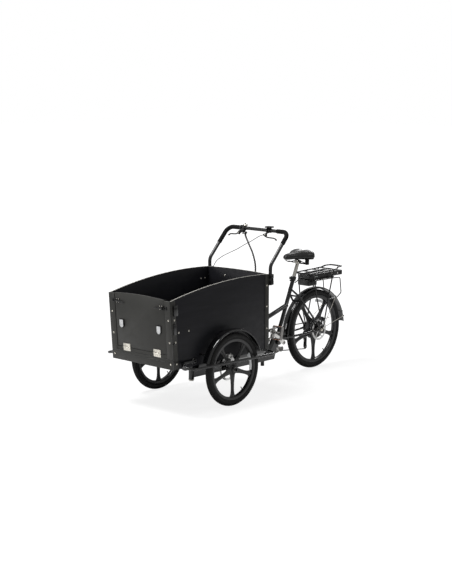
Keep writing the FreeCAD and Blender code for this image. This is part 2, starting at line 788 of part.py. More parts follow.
floor_gap = 1
node(block(box_front - box_rear - 2 * panel - 2 * floor_gap, 2 * (box_side - panel - floor_gap), panel,
           (box_rear + panel + floor_gap, -(box_side - panel - floor_gap), box_bottom)), "floor_panel")
panel_front_low = box_front - panel - 0.3
panel_front_high = box_front + box_lean - panel - 0.3
for side, sign in SIDES:
    side_panel = padded("side_panel", "XZ_Plane",
                        [(box_rear, box_bottom), (panel_front_low, box_bottom),
                         (panel_front_high, size("box_front_top")), (box_rear, size("box_rear_top"))],
                        panel, arcs={2: (size("box_crown_x"), size("box_crown_z"))})
    place(side_panel, (0, box_side if sign > 0 else panel - box_side, 0))
    node(side_panel, side + "_panel")

inner_half = box_side - panel
rear_panel = padded("rear_panel", "YZ_Plane",
                    [(-inner_half, box_bottom), (inner_half, box_bottom),
                     (inner_half, size("box_rear_top")), (-inner_half, size("box_rear_top"))],
                    panel, arcs={2: (0, size("box_rear_top") + 7)})
place(rear_panel, (box_rear, 0, 0))
node(rear_panel, "rear_panel")

front_height = size("box_front_top") - box_bottom
sill_height = size("sill_top") - box_bottom
sill_profile = 69
post_inner = box_side - size("post_width")
sill = union([block(panel, 2 * box_side, sill_height, (-panel, -box_side, 0)),
              block(profile, 2 * (box_side + profile), sill_profile, (0, -(box_side + profile), 0))])
on_front(sill)
node(sill, "front_sill")

flank_depth = 46
strap_depth = 13
posts = []
for side, sign in SIDES:
    leg_y = post_inner if sign > 0 else -(box_side + profile)
    flank_y = box_side if sign > 0 else -(box_side + profile)
    strap_y = box_side if sign > 0 else -(box_side + strap_depth)
    posts.append(union([block(profile, size("post_width") + profile, front_height - sill_profile,
                              (0, leg_y, sill_profile)),
                        block(flank_depth, profile, front_height, (-flank_depth, flank_y, 0)),
                        block(34, strap_depth, 70, (-56, strap_y, 357)),
                        block(panel, size("post_width"), front_height - sill_height,
                              (-panel, post_inner if sign > 0 else -box_side, sill_height))]))
front_posts = on_front(group(posts))
rear_posts = [union([block(40, profile, size("box_rear_top") - box_bottom,
                           (box_rear - profile, box_side if sign > 0 else -(box_side + profile), box_bottom)),
                     block(profile, 42, size("box_rear_top") - box_bottom,
                           (box_rear - profile, post_inner + 12 if sign > 0 else -(box_side + profile),
                            box_bottom))])
              for side, sign in SIDES]
node(group([front_posts] + rear_posts), "corner_posts")

hatch_low = sill_height + size("hatch_gap")
hatch_half = post_inner - size("hatch_gap")
hatch_side_height = front_height + 4
hatch = padded("hatch", "YZ_Plane",
               [(-hatch_half, hatch_low), (hatch_half, hatch_low),
                (hatch_half, hatch_side_height), (-hatch_half, hatch_side_height)],
               panel, arcs={2: (0, front_height + size("hatch_crown"))})
place(hatch, (0, 0, 0))
hatch.setExpression("Placement.Base.x", formula_of(-panel))
node(on_front(group([hatch])), "front_hatch")

knuckle_z = sill_height + size("hatch_gap") / 2
knuckle_x = 4
fixed_leaves = []
moving_leaves = []
for side, sign in SIDES:
    centre = 145 * sign
    pin = disc(2, 66, (knuckle_x, centre - 33, knuckle_z))
    outer = [cut(disc(4, 21, (knuckle_x, low, knuckle_z)), disc(1, 90, (knuckle_x, low - 10, knuckle_z)))
             for low in (centre - 33, centre + 12)]
    fixed_leaves.append(union([pin, block(profile, 66, 20, (0, centre - 33, knuckle_z - 25))] + outer
                              + [block(3, 20, 5, (0, low, knuckle_z - 5.5))
                                 for low in (centre - 32.5, centre + 12.5)]))
    barrel = cut(disc(4, 23, (knuckle_x, centre - 11.5, knuckle_z)),
                 disc(2 + running_gap, 60, (knuckle_x, centre - 30, knuckle_z)))
    moving_leaves.append(union([barrel, block(profile, 66, 20, (0, centre - 33, knuckle_z + 5)),
                                cut(block(3, 23, 6, (0, centre - 11.5, knuckle_z)),
                                    disc(3, 60, (knuckle_x, centre - 30, knuckle_z)))]))
node(on_front(group(fixed_leaves)), "hinge_fixed_leaves")
node(on_front(group(moving_leaves)), "hinge_moving_leaves")
node(on_front(group([block(8, 40, 60, (0, 178 * sign - 20, 226)) for side, sign in SIDES])),
     "hatch_reflectors")

latch_z = 410
latch_pin_y = 226
latch_pin_x = 12
latch_bases = []
for side, sign in SIDES:
    pin_y = latch_pin_y * sign
    latch_bases.append(union([block(3, 40, 30, (0, 212 * sign - 20, latch_z - 15)),
                              block(14, 9, 3, (2, pin_y - 4.5, latch_z + 8)),
                              block(14, 9, 3, (2, pin_y - 4.5, latch_z - 11)),
                              disc(2.5, 20, (latch_pin_x, pin_y, latch_z - 10), (0, 0, 1))]))
node(on_front(group(latch_bases)), "latch_bases")
for side, sign in SIDES:
    pin_y = latch_pin_y * sign
    arm_low = pin_y - 78 if sign > 0 else pin_y + 3
    lever = cut(union([disc(5.5, 15, (latch_pin_x, pin_y, latch_z - 7.5), (0, 0, 1)),
                       block(5, 75, 12, (latch_pin_x - 2, arm_low, latch_z - 6))]),
                disc(2.5 + running_gap, 60, (latch_pin_x, pin_y, latch_z - 30), (0, 0, 1)))
    node(on_front(group([lever])), "latch_lever_" + side)

bolt_radius = 6
bolt_height = 4
front_bolts = []
side_bolts = []
for side, sign in SIDES:
    for z in (330, 182, 36):
        front_bolts.append(disc(bolt_radius, bolt_height, (profile, 268 * sign, z), (1, 0, 0)))
        front_bolts.append(disc(bolt_radius, bolt_height,
                                (-30, (box_side + profile) * sign, z), (0, sign, 0)))
    for z in (765, 617, 462):
        side_bolts.append(disc(bolt_radius, bolt_height,
                               (box_rear + 20, (box_side + profile) * sign, z), (0, sign, 0)))
    for x in (998, 906):
        side_bolts.append(disc(bolt_radius, bolt_height, (x, box_side * sign, 553), (0, sign, 0)))
node(group([on_front(group(front_bolts))] + side_bolts), "panel_bolts")


# ---------------------------------------------------------------- handlebar and controls


bar_radius = size("bar_radius")
bar_x = size("bar_x")
bar_side = size("bar_half_width")
bar_top_x = size("bar_top_x")
bar_top = size("bar_top")
bar_foot_z = 762
bar_knee_z = 897
bar_points = [(bar_x, -bar_side, bar_foot_z), (bar_x, -bar_side, bar_knee_z), (bar_top_x, -bar_side + 3, bar_top),
              (bar_top_x, bar_side - 3, bar_top), (bar_x, bar_side, bar_knee_z), (bar_x, bar_side, bar_foot_z)]
bar_bend = 62
handlebar = tube(bar_points, bar_radius, bar_bend)
node(handlebar, "handlebar")
brackets = []
for side, sign in SIDES:
    plate_y = bar_side * sign - 19
    brackets.append(cut(block(29, 38, 76, (bar_x - 17, plate_y, 764)),
                        disc(bar_radius, 300, (bar_x, bar_side * sign, 700), (0, 0, 1))))
node(group(brackets), "handlebar_brackets")

grip_end_y = 178
grip_drop = {"left": 104, "right": 150}
grips = []
for side, sign in SIDES:
    top = Vector(float(bar_top_x), (float(bar_side) - 3) * sign, float(bar_top))
    low = Vector(float(bar_x), float(bar_side) * sign, bar_knee_z)
    down = (low - top).normalize()
    grip_points = [Vector(float(bar_top_x), grip_end_y * sign, float(bar_top)), top, top + down * grip_drop[side]]
    outer = tube_shape(grip_points, float(bar_radius) + 3.5, bar_bend)[0]
    inner = tube_shape(grip_points, float(bar_radius), bar_bend)[0]
    grips.append(shape_feature(outer.cut(inner)))
node(group(grips), "grips")

LEVER_TURN = Rotation(Vector(0, 1, 0), 53.13)
lever_axis = LEVER_TURN.multVec(Vector(0, 0, 1))
lever_x = -66
lever_z = 1078
clamp_places = {"left": 96, "right": -158}


def lever_pin(radius, half, y):
    """A round bar on a brake lever's pivot line."""
    reach_x = lever_axis.x * half
    reach_z = lever_axis.z * half
    return rod(radius, (lever_x - reach_x, y, lever_z - reach_z), (lever_x + reach_x, y, lever_z + reach_z))


clamps = []
lever_reach = {"left": 116, "right": 96}
for side, sign in SIDES:
    clamp_y = clamp_places[side]
    ring = disc(20, 14, (bar_top_x, clamp_y - 7, bar_top))
    neck = rod(8, (bar_top_x, clamp_y, bar_top), (lever_x - 4, clamp_y, lever_z + 4))
    knuckle = centred_block(20, 16, 22, (lever_x - 1, clamp_y, lever_z + 1), LEVER_TURN)
    clamp = cut(union([ring, neck, knuckle]), disc(bar_radius, 60, (bar_top_x, clamp_y - 30, bar_top)))
    gap = centred_block(44, 60, 9, (lever_x, clamp_y + 27 * sign, lever_z), LEVER_TURN)
    clamps.append(union([cut(clamp, gap), lever_pin(2, 10, clamp_y + 1.5 * sign)]))
shifter_x = -72
shifter_y = -122
shifter_z = 1096
shifter_pod = union([rod(15, (shifter_x, shifter_y - 14, shifter_z), (shifter_x, shifter_y + 14, shifter_z)),
                     rod(6, (shifter_x, shifter_y, shifter_z), (shifter_x - 16, shifter_y, bar_top))])
pod = cut(shifter_pod, disc(bar_radius, 60, (bar_top_x, shifter_y - 30, bar_top)))
node(group(clamps + [pod]), "lever_clamps")
for side, sign in SIDES:
    clamp_y = clamp_places[side]
    reach = lever_reach[side]
    lever = union([centred_block(9, 9, 8, (lever_x, clamp_y + 3.5 * sign, lever_z), LEVER_TURN),
                   tube([(lever_x, clamp_y + 5 * sign, lever_z), (-58.5, clamp_y + 26 * sign, 1068),
                         (-60, clamp_y + 0.76 * reach * sign, 1065), (-58, clamp_y + reach * sign, 1056)], 4, 25)])
    lever = cut(lever, lever_pin(2 + running_gap, 20, clamp_y + 1.5 * sign))
    node(lever, "brake_lever_" + side)
paddle_z = shifter_z - 24
node(union([disc(3, 8.6, (shifter_x, shifter_y, paddle_z), (0, 0, 1)),
            disc(8, 5, (shifter_x, shifter_y, paddle_z), (0, 0, 1)),
            block(40, 10, 5, (shifter_x - 44, shifter_y - 5, paddle_z))]), "shift_lever")
bell_y = -122
bell_dome = cut(ball(18, (bar_top_x, bell_y, bar_top + 15)),
                block(60, 60, 40, (bar_top_x - 30, bell_y - 30, bar_top - 23)))
bell = cut(union([disc(7, 12, (bar_top_x, bell_y, bar_top + 7), (0, 0, 1)), bell_dome]),
           disc(bar_radius, 60, (bar_top_x, bell_y - 30, bar_top)))
node(bell, "bell")
node(union([rod(2.5, (-74, bell_y, 1128), (-52, bell_y + 4, 1124)),
            disc(3, 8, (-75, bell_y, 1125), (0, 0, 1))]), "bell_lever")
display = cut(union([block(46, 52, 10, (-112, 88, bar_top + 21)), block(16, 16, 16, (-105, 108, bar_top + 8))]),
              disc(bar_radius, 60, (bar_top_x, 90, bar_top)))
node(display, "control_display")


# ---------------------------------------------------------------- cables


loom_route = [(-78, -98, 1086), (-40, -70, 1068), (0, -2, 1018), (34, 66, 960), (58, 112, 890),
              (80, 134, 825), (90, 138, 784)]
brake_route = [(-62, 80, 1082), (-52, 46, 1068), (-34, -6, 1034), (-16, -62, 1002), (2, -116, 968),
               (24, -168, 940), (46, -218, 911), (64, -260, 874), (77, -284, 824)]
node(group([cable(loom_route, 6), cable(brake_route, 2.5)]), "handlebar_cables")


# ---------------------------------------------------------------- check and export


doc.recompute()
for item in doc.Objects:
    if "Invalid" in item.State or "Error" in item.State:
        raise RuntimeError("%s (%s) is %s" % (item.Name, item.Label, item.State))
labels = [item.Label for item in NODES]
if len(set(labels)) != len(labels):
    raise RuntimeError("two sub-parts share a label")
for item in NODES:
    shape = item.Shape
    if shape.isNull() or not shape.isValid() or not shape.Solids:
        raise RuntimeError("%s has a bad shape" % item.Label)

os.makedirs("parts", exist_ok=True)
for item in NODES:
    item.Shape.exportStep("parts/" + item.Label + ".step")
print(len(NODES), "sub-parts written")
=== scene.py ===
import json
import math

import bmesh
import bpy
from mathutils import Matrix, Vector


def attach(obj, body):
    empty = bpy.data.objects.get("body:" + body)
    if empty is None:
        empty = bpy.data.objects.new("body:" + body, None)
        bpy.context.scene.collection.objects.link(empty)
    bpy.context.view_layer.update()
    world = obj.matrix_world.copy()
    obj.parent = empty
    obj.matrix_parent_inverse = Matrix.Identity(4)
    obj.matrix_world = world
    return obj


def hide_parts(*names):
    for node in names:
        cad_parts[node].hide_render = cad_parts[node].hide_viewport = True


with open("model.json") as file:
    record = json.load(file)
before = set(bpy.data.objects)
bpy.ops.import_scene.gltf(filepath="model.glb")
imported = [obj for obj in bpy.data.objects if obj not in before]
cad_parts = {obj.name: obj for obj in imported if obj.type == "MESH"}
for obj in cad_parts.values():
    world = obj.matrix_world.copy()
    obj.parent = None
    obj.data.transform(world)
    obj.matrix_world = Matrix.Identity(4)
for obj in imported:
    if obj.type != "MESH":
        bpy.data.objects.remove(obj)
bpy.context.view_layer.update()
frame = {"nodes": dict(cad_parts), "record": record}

# Every size below is in millimetres in the part's frame: x forward, y to the rider's left, z up.
# The meshes are scaled to metres when a piece is made.

MM = 0.001
SIDES = (("left", 1), ("right", -1))
body_of_node = {node: body for body, nodes in frame["record"]["behaviour"]["bodies"].items()
                for node in nodes}


# ---------------------------------------------------------------- finishes


def material_nodes(name):
    """A new material with its node tree, its main shader and the part's own coordinates."""
    material = bpy.data.materials.new(name)
    material.use_nodes = True
    tree = material.node_tree
    shader = tree.nodes["Principled BSDF"]
    coordinates = tree.nodes.new("ShaderNodeTexCoord")
    return material, tree, shader, coordinates.outputs["Object"]


def new_node(tree, kind, values=None, **settings):
    """A shader node with its settings and the values of its unlinked inputs."""
    node = tree.nodes.new(kind)
    for name, setting in settings.items():
        setattr(node, name, setting)
    for name, value in (values or {}).items():
        node.inputs[name].default_value = value
    return node


def texture_node(tree, kind, coordinates, scale, stretch):
    mapping = new_node(tree, "ShaderNodeMapping", {"Scale": stretch})
    tree.links.new(coordinates, mapping.inputs["Vector"])
    texture = new_node(tree, kind, {"Scale": scale})
    tree.links.new(mapping.outputs["Vector"], texture.inputs["Vector"])
    return texture


def noise_value(tree, coordinates, scale, detail=4.0, stretch=(1, 1, 1)):
    texture = texture_node(tree, "ShaderNodeTexNoise", coordinates, scale, stretch)
    texture.inputs["Detail"].default_value = detail
    return texture.outputs["Fac"]


def cell_value(tree, coordinates, scale, stretch=(1, 1, 1)):
    """The distance to the nearest cell's middle."""
    return texture_node(tree, "ShaderNodeTexVoronoi", coordinates, scale, stretch).outputs["Distance"]


def spread_over(tree, value, low, high):
    """The value stretched to run from low to high."""
    spread = new_node(tree, "ShaderNodeMapRange",
                      {"From Min": 0.3, "From Max": 0.7, "To Min": low, "To Max": high})
    tree.links.new(value, spread.inputs["Value"])
    return spread.outputs["Result"]


def blend_colour(tree, shader, share, first, second):
    """The shader's colour, from the first to the second as the share goes from 0 to 1."""
    mix = new_node(tree, "ShaderNodeMix", {6: [*first, 1.0], 7: [*second, 1.0]}, data_type="RGBA")
    tree.links.new(share, mix.inputs[0])
    tree.links.new(mix.outputs[2], shader.inputs["Base Color"])


def raise_relief(tree, shader, height, strength, distance):
    bump = new_node(tree, "ShaderNodeBump", {"Strength": strength, "Distance": distance})
    tree.links.new(height, bump.inputs["Height"])
    tree.links.new(bump.outputs["Normal"], shader.inputs["Normal"])


def finish(name, colour, rough, metal=0.0, coat=0.0, patch=9.0, variety=0.25, rough_spread=0.08,
           grain=1200.0, grain_height=0.00004, grain_strength=0.4, cells=False, stretch=(1, 1, 1), shine=0.5):
    """A surface whose colour, gloss and relief all vary over the piece."""
    material, tree, shader, coordinates = material_nodes(name)
    patches = noise_value(tree, coordinates, patch, 6.0, stretch)
    dark = [amount * (1 - variety) for amount in colour]
    light = [min(1.0, amount * (1 + variety)) for amount in colour]
    blend_colour(tree, shader, spread_over(tree, patches, 0.0, 1.0), dark, light)
    smears = noise_value(tree, coordinates, patch * 4.3, 5.0, stretch)
    tree.links.new(spread_over(tree, smears, max(0.02, rough - rough_spread), rough + rough_spread),
                   shader.inputs["Roughness"])
    shader.inputs["Metallic"].default_value = metal
    shader.inputs["Specular IOR Level"].default_value = shine
    shader.inputs["Coat Weight"].default_value = coat
    shader.inputs["Coat Roughness"].default_value = 0.04
    if cells:
        height = cell_value(tree, coordinates, grain, stretch)
    else:
        height = noise_value(tree, coordinates, grain, 3.0, stretch)
    raise_relief(tree, shader, height, grain_strength, grain_height)
    return material


def board_finish(name):
    """Film-faced board: a fine woven press mark over broad, faint streaks."""
    material, tree, shader, coordinates = material_nodes(name)
    streaks = noise_value(tree, coordinates, 5.0, 8.0, (1.0, 1.0, 9.0))
    blend_colour(tree, shader, spread_over(tree, streaks, 0.0, 1.0), (0.0085, 0.0085, 0.0105),
                 (0.0125, 0.0125, 0.0155))
    scuffs = noise_value(tree, coordinates, 24.0, 6.0)
    tree.links.new(spread_over(tree, scuffs, 0.36, 0.5), shader.inputs["Roughness"])
    shader.inputs["Specular IOR Level"].default_value = 0.2
    raise_relief(tree, shader, cell_value(tree, coordinates, 420.0), 0.35, 0.00012)
    return material


def prism_finish(name, colour, cell=330.0):
    """A moulded reflector: small glossy prisms that glint at different angles, each darkened towards its rim
    as painted shade between the prisms.
    """
    material, tree, shader, coordinates = material_nodes(name)
    facets = cell_value(tree, coordinates, cell)
    # Each prism's colour darkens from its middle to its rim: painted shade in the creases between the prisms.
    painted_rim_shade = [amount * 0.62 for amount in colour]
    blend_colour(tree, shader, spread_over(tree, facets, 0.0, 1.0), colour, painted_rim_shade)
    shader.inputs["Coat Weight"].default_value = 1.0
    shader.inputs["Coat Roughness"].default_value = 0.05
    grime = noise_value(tree, coordinates, 60.0)
    tree.links.new(spread_over(tree, grime, 0.12, 0.3), shader.inputs["Roughness"])
    raise_relief(tree, shader, facets, 0.8, 0.0005)
    return material


FINISHES = {
    "frame_paint": finish("frame_paint", (0.0035, 0.0035, 0.004), 0.14, coat=1.0, patch=5.0,
                          rough_spread=0.05, grain=260.0, grain_height=0.00001, grain_strength=0.2,
                          shine=0.15),
    "box_board": board_finish("box_board"),
    "profile_grey": finish("profile_grey", (0.03, 0.0295, 0.0265), 0.42, patch=4.0, variety=0.12, grain=900.0,
                           rough_spread=0.07, shine=0.3),
    "fittings_steel": finish("fittings_steel", (0.72, 0.69, 0.62), 0.3, metal=1.0, patch=60.0, variety=0.12,
                             grain=700.0, stretch=(1, 6, 1)),
    "drive_steel": finish("drive_steel", (0.3, 0.29, 0.28), 0.36, metal=1.0, patch=45.0, variety=0.3,
                          rough_spread=0.12),
    "rotor_steel": finish("rotor_steel", (0.6, 0.6, 0.59), 0.27, metal=1.0, patch=30.0, variety=0.14,
                          grain=1800.0, stretch=(1, 0.2, 1)),
    "alloy": finish("alloy", (0.84, 0.83, 0.81), 0.34, metal=1.0, patch=22.0, variety=0.1, rough_spread=0.09),
    "bright_chrome": finish("bright_chrome", (0.62, 0.6, 0.55), 0.12, metal=1.0, patch=14.0, variety=0.05,
                            rough_spread=0.04, grain=120.0, grain_height=0.00002),
    "wheel_black": finish("wheel_black", (0.006, 0.006, 0.0065), 0.36, coat=0.15, patch=11.0,
                          grain=1500.0, grain_height=0.00003),
    "tyre_rubber": finish("tyre_rubber", (0.0085, 0.0084, 0.0083), 0.66, patch=16.0, variety=0.3,
                          rough_spread=0.1, grain=1300.0, grain_height=0.00012, grain_strength=0.5,
                          shine=0.25),
    "grip_rubber": finish("grip_rubber", (0.006, 0.006, 0.0062), 0.86, patch=24.0, variety=0.3,
                          grain=900.0, grain_height=0.0005, grain_strength=0.8, cells=True, shine=0.2),
    "black_plastic": finish("black_plastic", (0.006, 0.006, 0.0063), 0.45, patch=18.0, grain=1400.0,
                            grain_height=0.00008, grain_strength=0.5, cells=True, shine=0.35),
    "battery_case": finish("battery_case", (0.0065, 0.0065, 0.007), 0.38, patch=12.0, grain=1700.0,
                           grain_height=0.00006, grain_strength=0.5, cells=True),
    "motor_shell": finish("motor_shell", (0.006, 0.006, 0.0065), 0.35, patch=20.0, grain=900.0, coat=0.2),
    "reflector_clear": prism_finish("reflector_clear", (0.8, 0.81, 0.82)),
    "reflector_rear": prism_finish("reflector_rear", (0.8, 0.62, 0.3)),
    "saddle_cover": finish("saddle_cover", (0.0065, 0.0062, 0.006), 0.38, patch=14.0, variety=0.2,
                           grain=900.0, grain_height=0.00005, grain_strength=0.3, cells=True),
    "cable_sheath": finish("cable_sheath", (0.005, 0.005, 0.0053), 0.4, patch=40.0, grain=1600.0),
}
amber_lens = prism_finish("amber_lens", (0.85, 0.24, 0.02), 420.0)
display_glass = finish("display_glass", (0.01, 0.013, 0.015), 0.08, coat=1.0, patch=60.0, rough_spread=0.03,
                       grain=70.0, grain_height=0.00001)
# Light grey for the boards' top edges: partly the bare board edge, partly a painted highlight where light
# catches the edge.
board_edge = finish("board_edge", (0.3, 0.29, 0.265), 0.5, patch=80.0, variety=0.25,
                    grain=600.0, grain_height=0.0001, stretch=(0.3, 1, 6))
lamp_window = finish("lamp_window", (0.25, 0.28, 0.26), 0.2, patch=200.0, variety=0.4, coat=0.6)


# ---------------------------------------------------------------- mesh helpers

# A shape is a pair: its points and its faces.


def joined(*shapes):
    points = []
    faces = []
    for shape_points, shape_faces in shapes:
        base = len(points)
        points.extend(shape_points)
        faces.extend(tuple(index + base for index in face) for face in shape_faces)
    return points, faces


def moved(shape, at=(0, 0, 0), turn=None):
    points, faces = shape
    matrix = Matrix.Translation(Vector(at))
    if turn is not None:
        matrix = matrix @ turn.to_4x4()
    return [matrix @ Vector(point) for point in points], faces


def rotation(axis, degrees):
    return Matrix.Rotation(math.radians(degrees), 4, axis)


def facing(direction):
    """The turn that takes the y axis to a direction."""
    return Vector(direction).to_track_quat("Y", "Z").to_matrix().to_4x4()


def mirrored(shape):
    """The same shape on the other side of the part's middle plane."""
    points, faces = shape
    return [Vector((point[0], -point[1], point[2])) for point in points], faces


def taken(bm):
    """The points and faces of a bmesh, which is then let go."""
    bm.verts.index_update()
    points = [vertex.co.copy() for vertex in bm.verts]
    faces = [tuple(vertex.index for vertex in face.verts) for face in bm.faces]
    bm.free()
    return points, faces


def block(sizes, centre=(0, 0, 0), bevel=1.0, turn=None, steps=2):
    """A box with its edges rounded off."""
    bm = bmesh.new()
    bmesh.ops.create_cube(bm, size=1)
    bmesh.ops.scale(bm, vec=Vector(sizes), verts=bm.verts)
    if bevel:
        bmesh.ops.bevel(bm, geom=bm.edges[:], offset=bevel, segments=steps, profile=0.5, affect="EDGES")
    return moved(taken(bm), centre, turn)


def plate(outline, depth, bevel=0.4, middle=0.0):
    """A flat piece: an outline in the x-z plane with a thickness along y."""
    bm = bmesh.new()
    ring = [bm.verts.new((x, middle - depth / 2, z)) for x, z in outline]
    face = bm.faces.new(ring)
    raised = bmesh.ops.extrude_face_region(bm, geom=[face])
    fresh = [item for item in raised["geom"] if isinstance(item, bmesh.types.BMVert)]
    bmesh.ops.translate(bm, vec=(0, depth, 0), verts=fresh)
    if bevel:
        rims = [edge for edge in bm.edges if abs(edge.verts[0].co.y - edge.verts[1].co.y) < depth / 4]
        bmesh.ops.bevel(bm, geom=rims, offset=bevel, segments=1, profile=0.5, affect="EDGES")
    return taken(bm)


def lathe(section, segments=48, first=0.0, last=360.0, closed=True):
    """A section of (along, radius) pairs turned about the y axis."""
    whole = last - first >= 360
    rings = segments if whole else segments + 1
    count = len(section)
    points = []
    for index in range(rings):
        angle = math.radians(first + (last - first) * index / segments)
        for along, radius in section:
            points.append(Vector((radius * math.cos(angle), along, radius * math.sin(angle))))
    faces = []
    for index in range(segments):
        here = index * count
        after = ((index + 1) % rings) * count
        for step in range(count if closed else count - 1):
            ahead = (step + 1) % count
            faces.append((here + step, here + ahead, after + ahead, after + step))
    if not whole and closed:
        faces.append(tuple(range(count)))
        faces.append(tuple(reversed(range((rings - 1) * count, rings * count))))
    return points, faces


def disc(radius, depth, bevel=0.6, bore=0.0, segments=40):
    """A round plate about the y axis, from y = 0 to its depth."""
    section = [(0, bore), (0, radius - bevel), (bevel, radius), (depth - bevel, radius),
               (depth, radius - bevel), (depth, bore)]
    return lathe(section, segments, closed=bore > 0)


def tube(path, radius, sides=16, closed=False):
    """A round bar along a path. Its radius may be a function of the share of the way along."""
    points = [Vector(point) for point in path]
    count = len(points)
    ring_points = []
    normal = None
    for index, point in enumerate(points):
        if closed:
            before = points[index - 1]
            after = points[(index + 1) % count]
        else:
            before = points[max(index - 1, 0)]
            after = points[min(index + 1, count - 1)]
        along = (after - before).normalized()
        if normal is None:
            normal = along.orthogonal().normalized()
        normal = (normal - along * normal.dot(along)).normalized()
        across = along.cross(normal)
        here = radius(index / (count - 1)) if callable(radius) else radius
        for side in range(sides):
            angle = 2 * math.pi * side / sides
            ring_points.append(point + (normal * math.cos(angle) + across * math.sin(angle)) * here)
    faces = []
    for index in range(count if closed else count - 1):
        here = index * sides
        after = ((index + 1) % count) * sides
        for side in range(sides):
            ahead = (side + 1) % sides
            faces.append((here + side, here + ahead, after + ahead, after + side))
    if not closed:
        faces.append(tuple(range(sides)))
        faces.append(tuple(reversed(range((count - 1) * sides, count * sides))))
    return ring_points, faces


def rounded(corners, bend, steps=7):
    """A path through the corners with each one rounded to an arc."""
    corners = [Vector(corner) for corner in corners]
    path = [corners[0]]
    for before, corner, after in zip(corners, corners[1:], corners[2:]):
        back = before - corner
        ahead = after - corner
        half = back.angle(ahead) / 2
        if half > 1.55:
            path.append(corner)
            continue
        reach = min(bend / math.tan(half), 0.48 * back.length, 0.48 * ahead.length)
        radius = reach * math.tan(half)
        centre = corner + (back.normalized() + ahead.normalized()).normalized() * radius / math.sin(half)
        start = (corner + back.normalized() * reach - centre).normalized()
        end = (corner + ahead.normalized() * reach - centre).normalized()
        for step in range(steps + 1):
            path.append(centre + start.slerp(end, step / steps) * radius)
    path.append(corners[-1])
    return path


def smooth_path(corners, steps=10):
    """A curve that passes through every corner."""
    corners = [Vector(corner) for corner in corners]
    ends = [corners[0] * 2 - corners[1]] + corners + [corners[-1] * 2 - corners[-2]]
    path = []
    for a, b, c, d in zip(ends, ends[1:], ends[2:], ends[3:]):
        for step in range(steps):
            t = step / steps
            path.append(((b * 2) + (c - a) * t + (a * 2 - b * 5 + c * 4 - d) * t * t
                         + (b * 3 - a - c * 3 + d) * t * t * t) / 2)
    path.append(corners[-1])
    return path


def rod(radius, start, end, sides=16):
    return tube([start, end], radius, sides)


def hexagon(across, depth, bevel=0.5):
    """A nut or bolt head about the y axis, from y = 0 to its depth."""
    corner = across / math.sqrt(3)
    outline = [(corner * math.cos(math.radians(60 * index)), corner * math.sin(math.radians(60 * index)))
               for index in range(6)]
    return plate(outline, depth, bevel, depth / 2)


def screw(radius=6.0, height=4.0):
    """A domed screw with a six-sided recess, standing on y = 0."""
    recess = radius * 0.42
    section = [(0, radius), (height * 0.35, radius), (height * 0.75, radius * 0.86), (height, radius * 0.6),
               (height, recess), (height * 0.4, recess), (height * 0.4, 0)]
    dome = lathe(section, 24, closed=False)
    points = [point.copy() for point in dome[0]]
    for ring in range(24):
        angle = math.radians(360 / 24 * ring)
        flat = recess / math.cos((angle + math.pi / 6) % (math.pi / 3) - math.pi / 6)
        for step in (4, 5):
            point = points[ring * 7 + step]
            point.x = flat * math.cos(angle)
            point.z = flat * math.sin(angle)
    washer = disc(radius * 1.3, 0.9, 0.3, 0, 24)
    return joined((points, dome[1]), washer)


def at_normal(shape, at, direction):
    """A shape built on y = 0, stood on a surface that faces a direction."""
    return moved(shape, at, facing(direction))


def screw_at(radius, height, at, direction):
    return at_normal(screw(radius, height), at, direction)


def gear(teeth, root, tip, depth, bore=0.0):
    """A toothed wheel about the y axis, centred on y = 0."""
    steps = teeth * 4
    section = []
    for index in range(steps):
        angle = 2 * math.pi * index / steps
        radius = tip if index % 4 in (1, 2) else root
        section.append((radius * math.cos(angle), radius * math.sin(angle)))
    if not bore:
        return plate(section, depth, 0)
    points = []
    faces = []
    for index, (x, z) in enumerate(section):
        angle = math.atan2(z, x)
        inner = (bore * math.cos(angle), bore * math.sin(angle))
        for px, pz in ((x, z), inner):
            points.append(Vector((px, -depth / 2, pz)))
            points.append(Vector((px, depth / 2, pz)))
        here = index * 4
        after = ((index + 1) % steps) * 4
        faces.append((here, here + 1, after + 1, after))
        faces.append((here + 1, here + 3, after + 3, after + 1))
        faces.append((here + 3, here + 2, after + 2, after + 3))
        faces.append((here + 2, here, after, after + 2))
    return points, faces


def piece(name, shape, finish_name, body, replaces=(), smooth=38.0, surface=None):
    """A mesh object made from a shape, with its finish, on its body."""
    points, faces = shape
    mesh = bpy.data.meshes.new(name)
    mesh.from_pydata([Vector(point) * MM for point in points], [], faces)
    bm = bmesh.new()
    bm.from_mesh(mesh)
    bmesh.ops.remove_doubles(bm, verts=bm.verts, dist=2e-6)
    return place_mesh(name, mesh, bm, finish_name, body, replaces, smooth, surface)


def place_mesh(name, mesh, bm, finish_name, body, replaces, smooth, surface=None):
    bmesh.ops.recalc_face_normals(bm, faces=bm.faces)
    for face in bm.faces:
        face.smooth = True
    for edge in bm.edges:
        sharp = len(edge.link_faces) == 2 and edge.calc_face_angle(0) > math.radians(smooth)
        edge.smooth = not sharp
    bm.to_mesh(mesh)
    bm.free()
    item = bpy.data.objects.new(name, mesh)
    bpy.context.scene.collection.objects.link(item)
    item.data.materials.append(surface or FINISHES[finish_name])
    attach(item, body)
    if replaces:
        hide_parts(*replaces)
    return item


def cad_piece(node, finish_name, bevel=0.8, smooth=38.0):
    """A piece that follows a CAD node's own surface, with its hard edges rounded off."""
    bm = bmesh.new()
    bm.from_mesh(frame["nodes"][node].data)
    bmesh.ops.remove_doubles(bm, verts=bm.verts, dist=1e-6)
    bmesh.ops.dissolve_limit(bm, angle_limit=math.radians(0.3), verts=bm.verts, edges=bm.edges)
    if bevel:
        hard = [edge for edge in bm.edges
                if len(edge.link_faces) == 2 and edge.calc_face_angle(0) > math.radians(40)]
        bmesh.ops.bevel(bm, geom=hard, offset=bevel * MM, segments=2, profile=0.5, affect="EDGES",
                        clamp_overlap=True)
    mesh = bpy.data.meshes.new(node + "_surface")
    return place_mesh(node + "_surface", mesh, bm, finish_name, body_of_node[node], (node,), smooth)


# ---------------------------------------------------------------- tyres and wheels

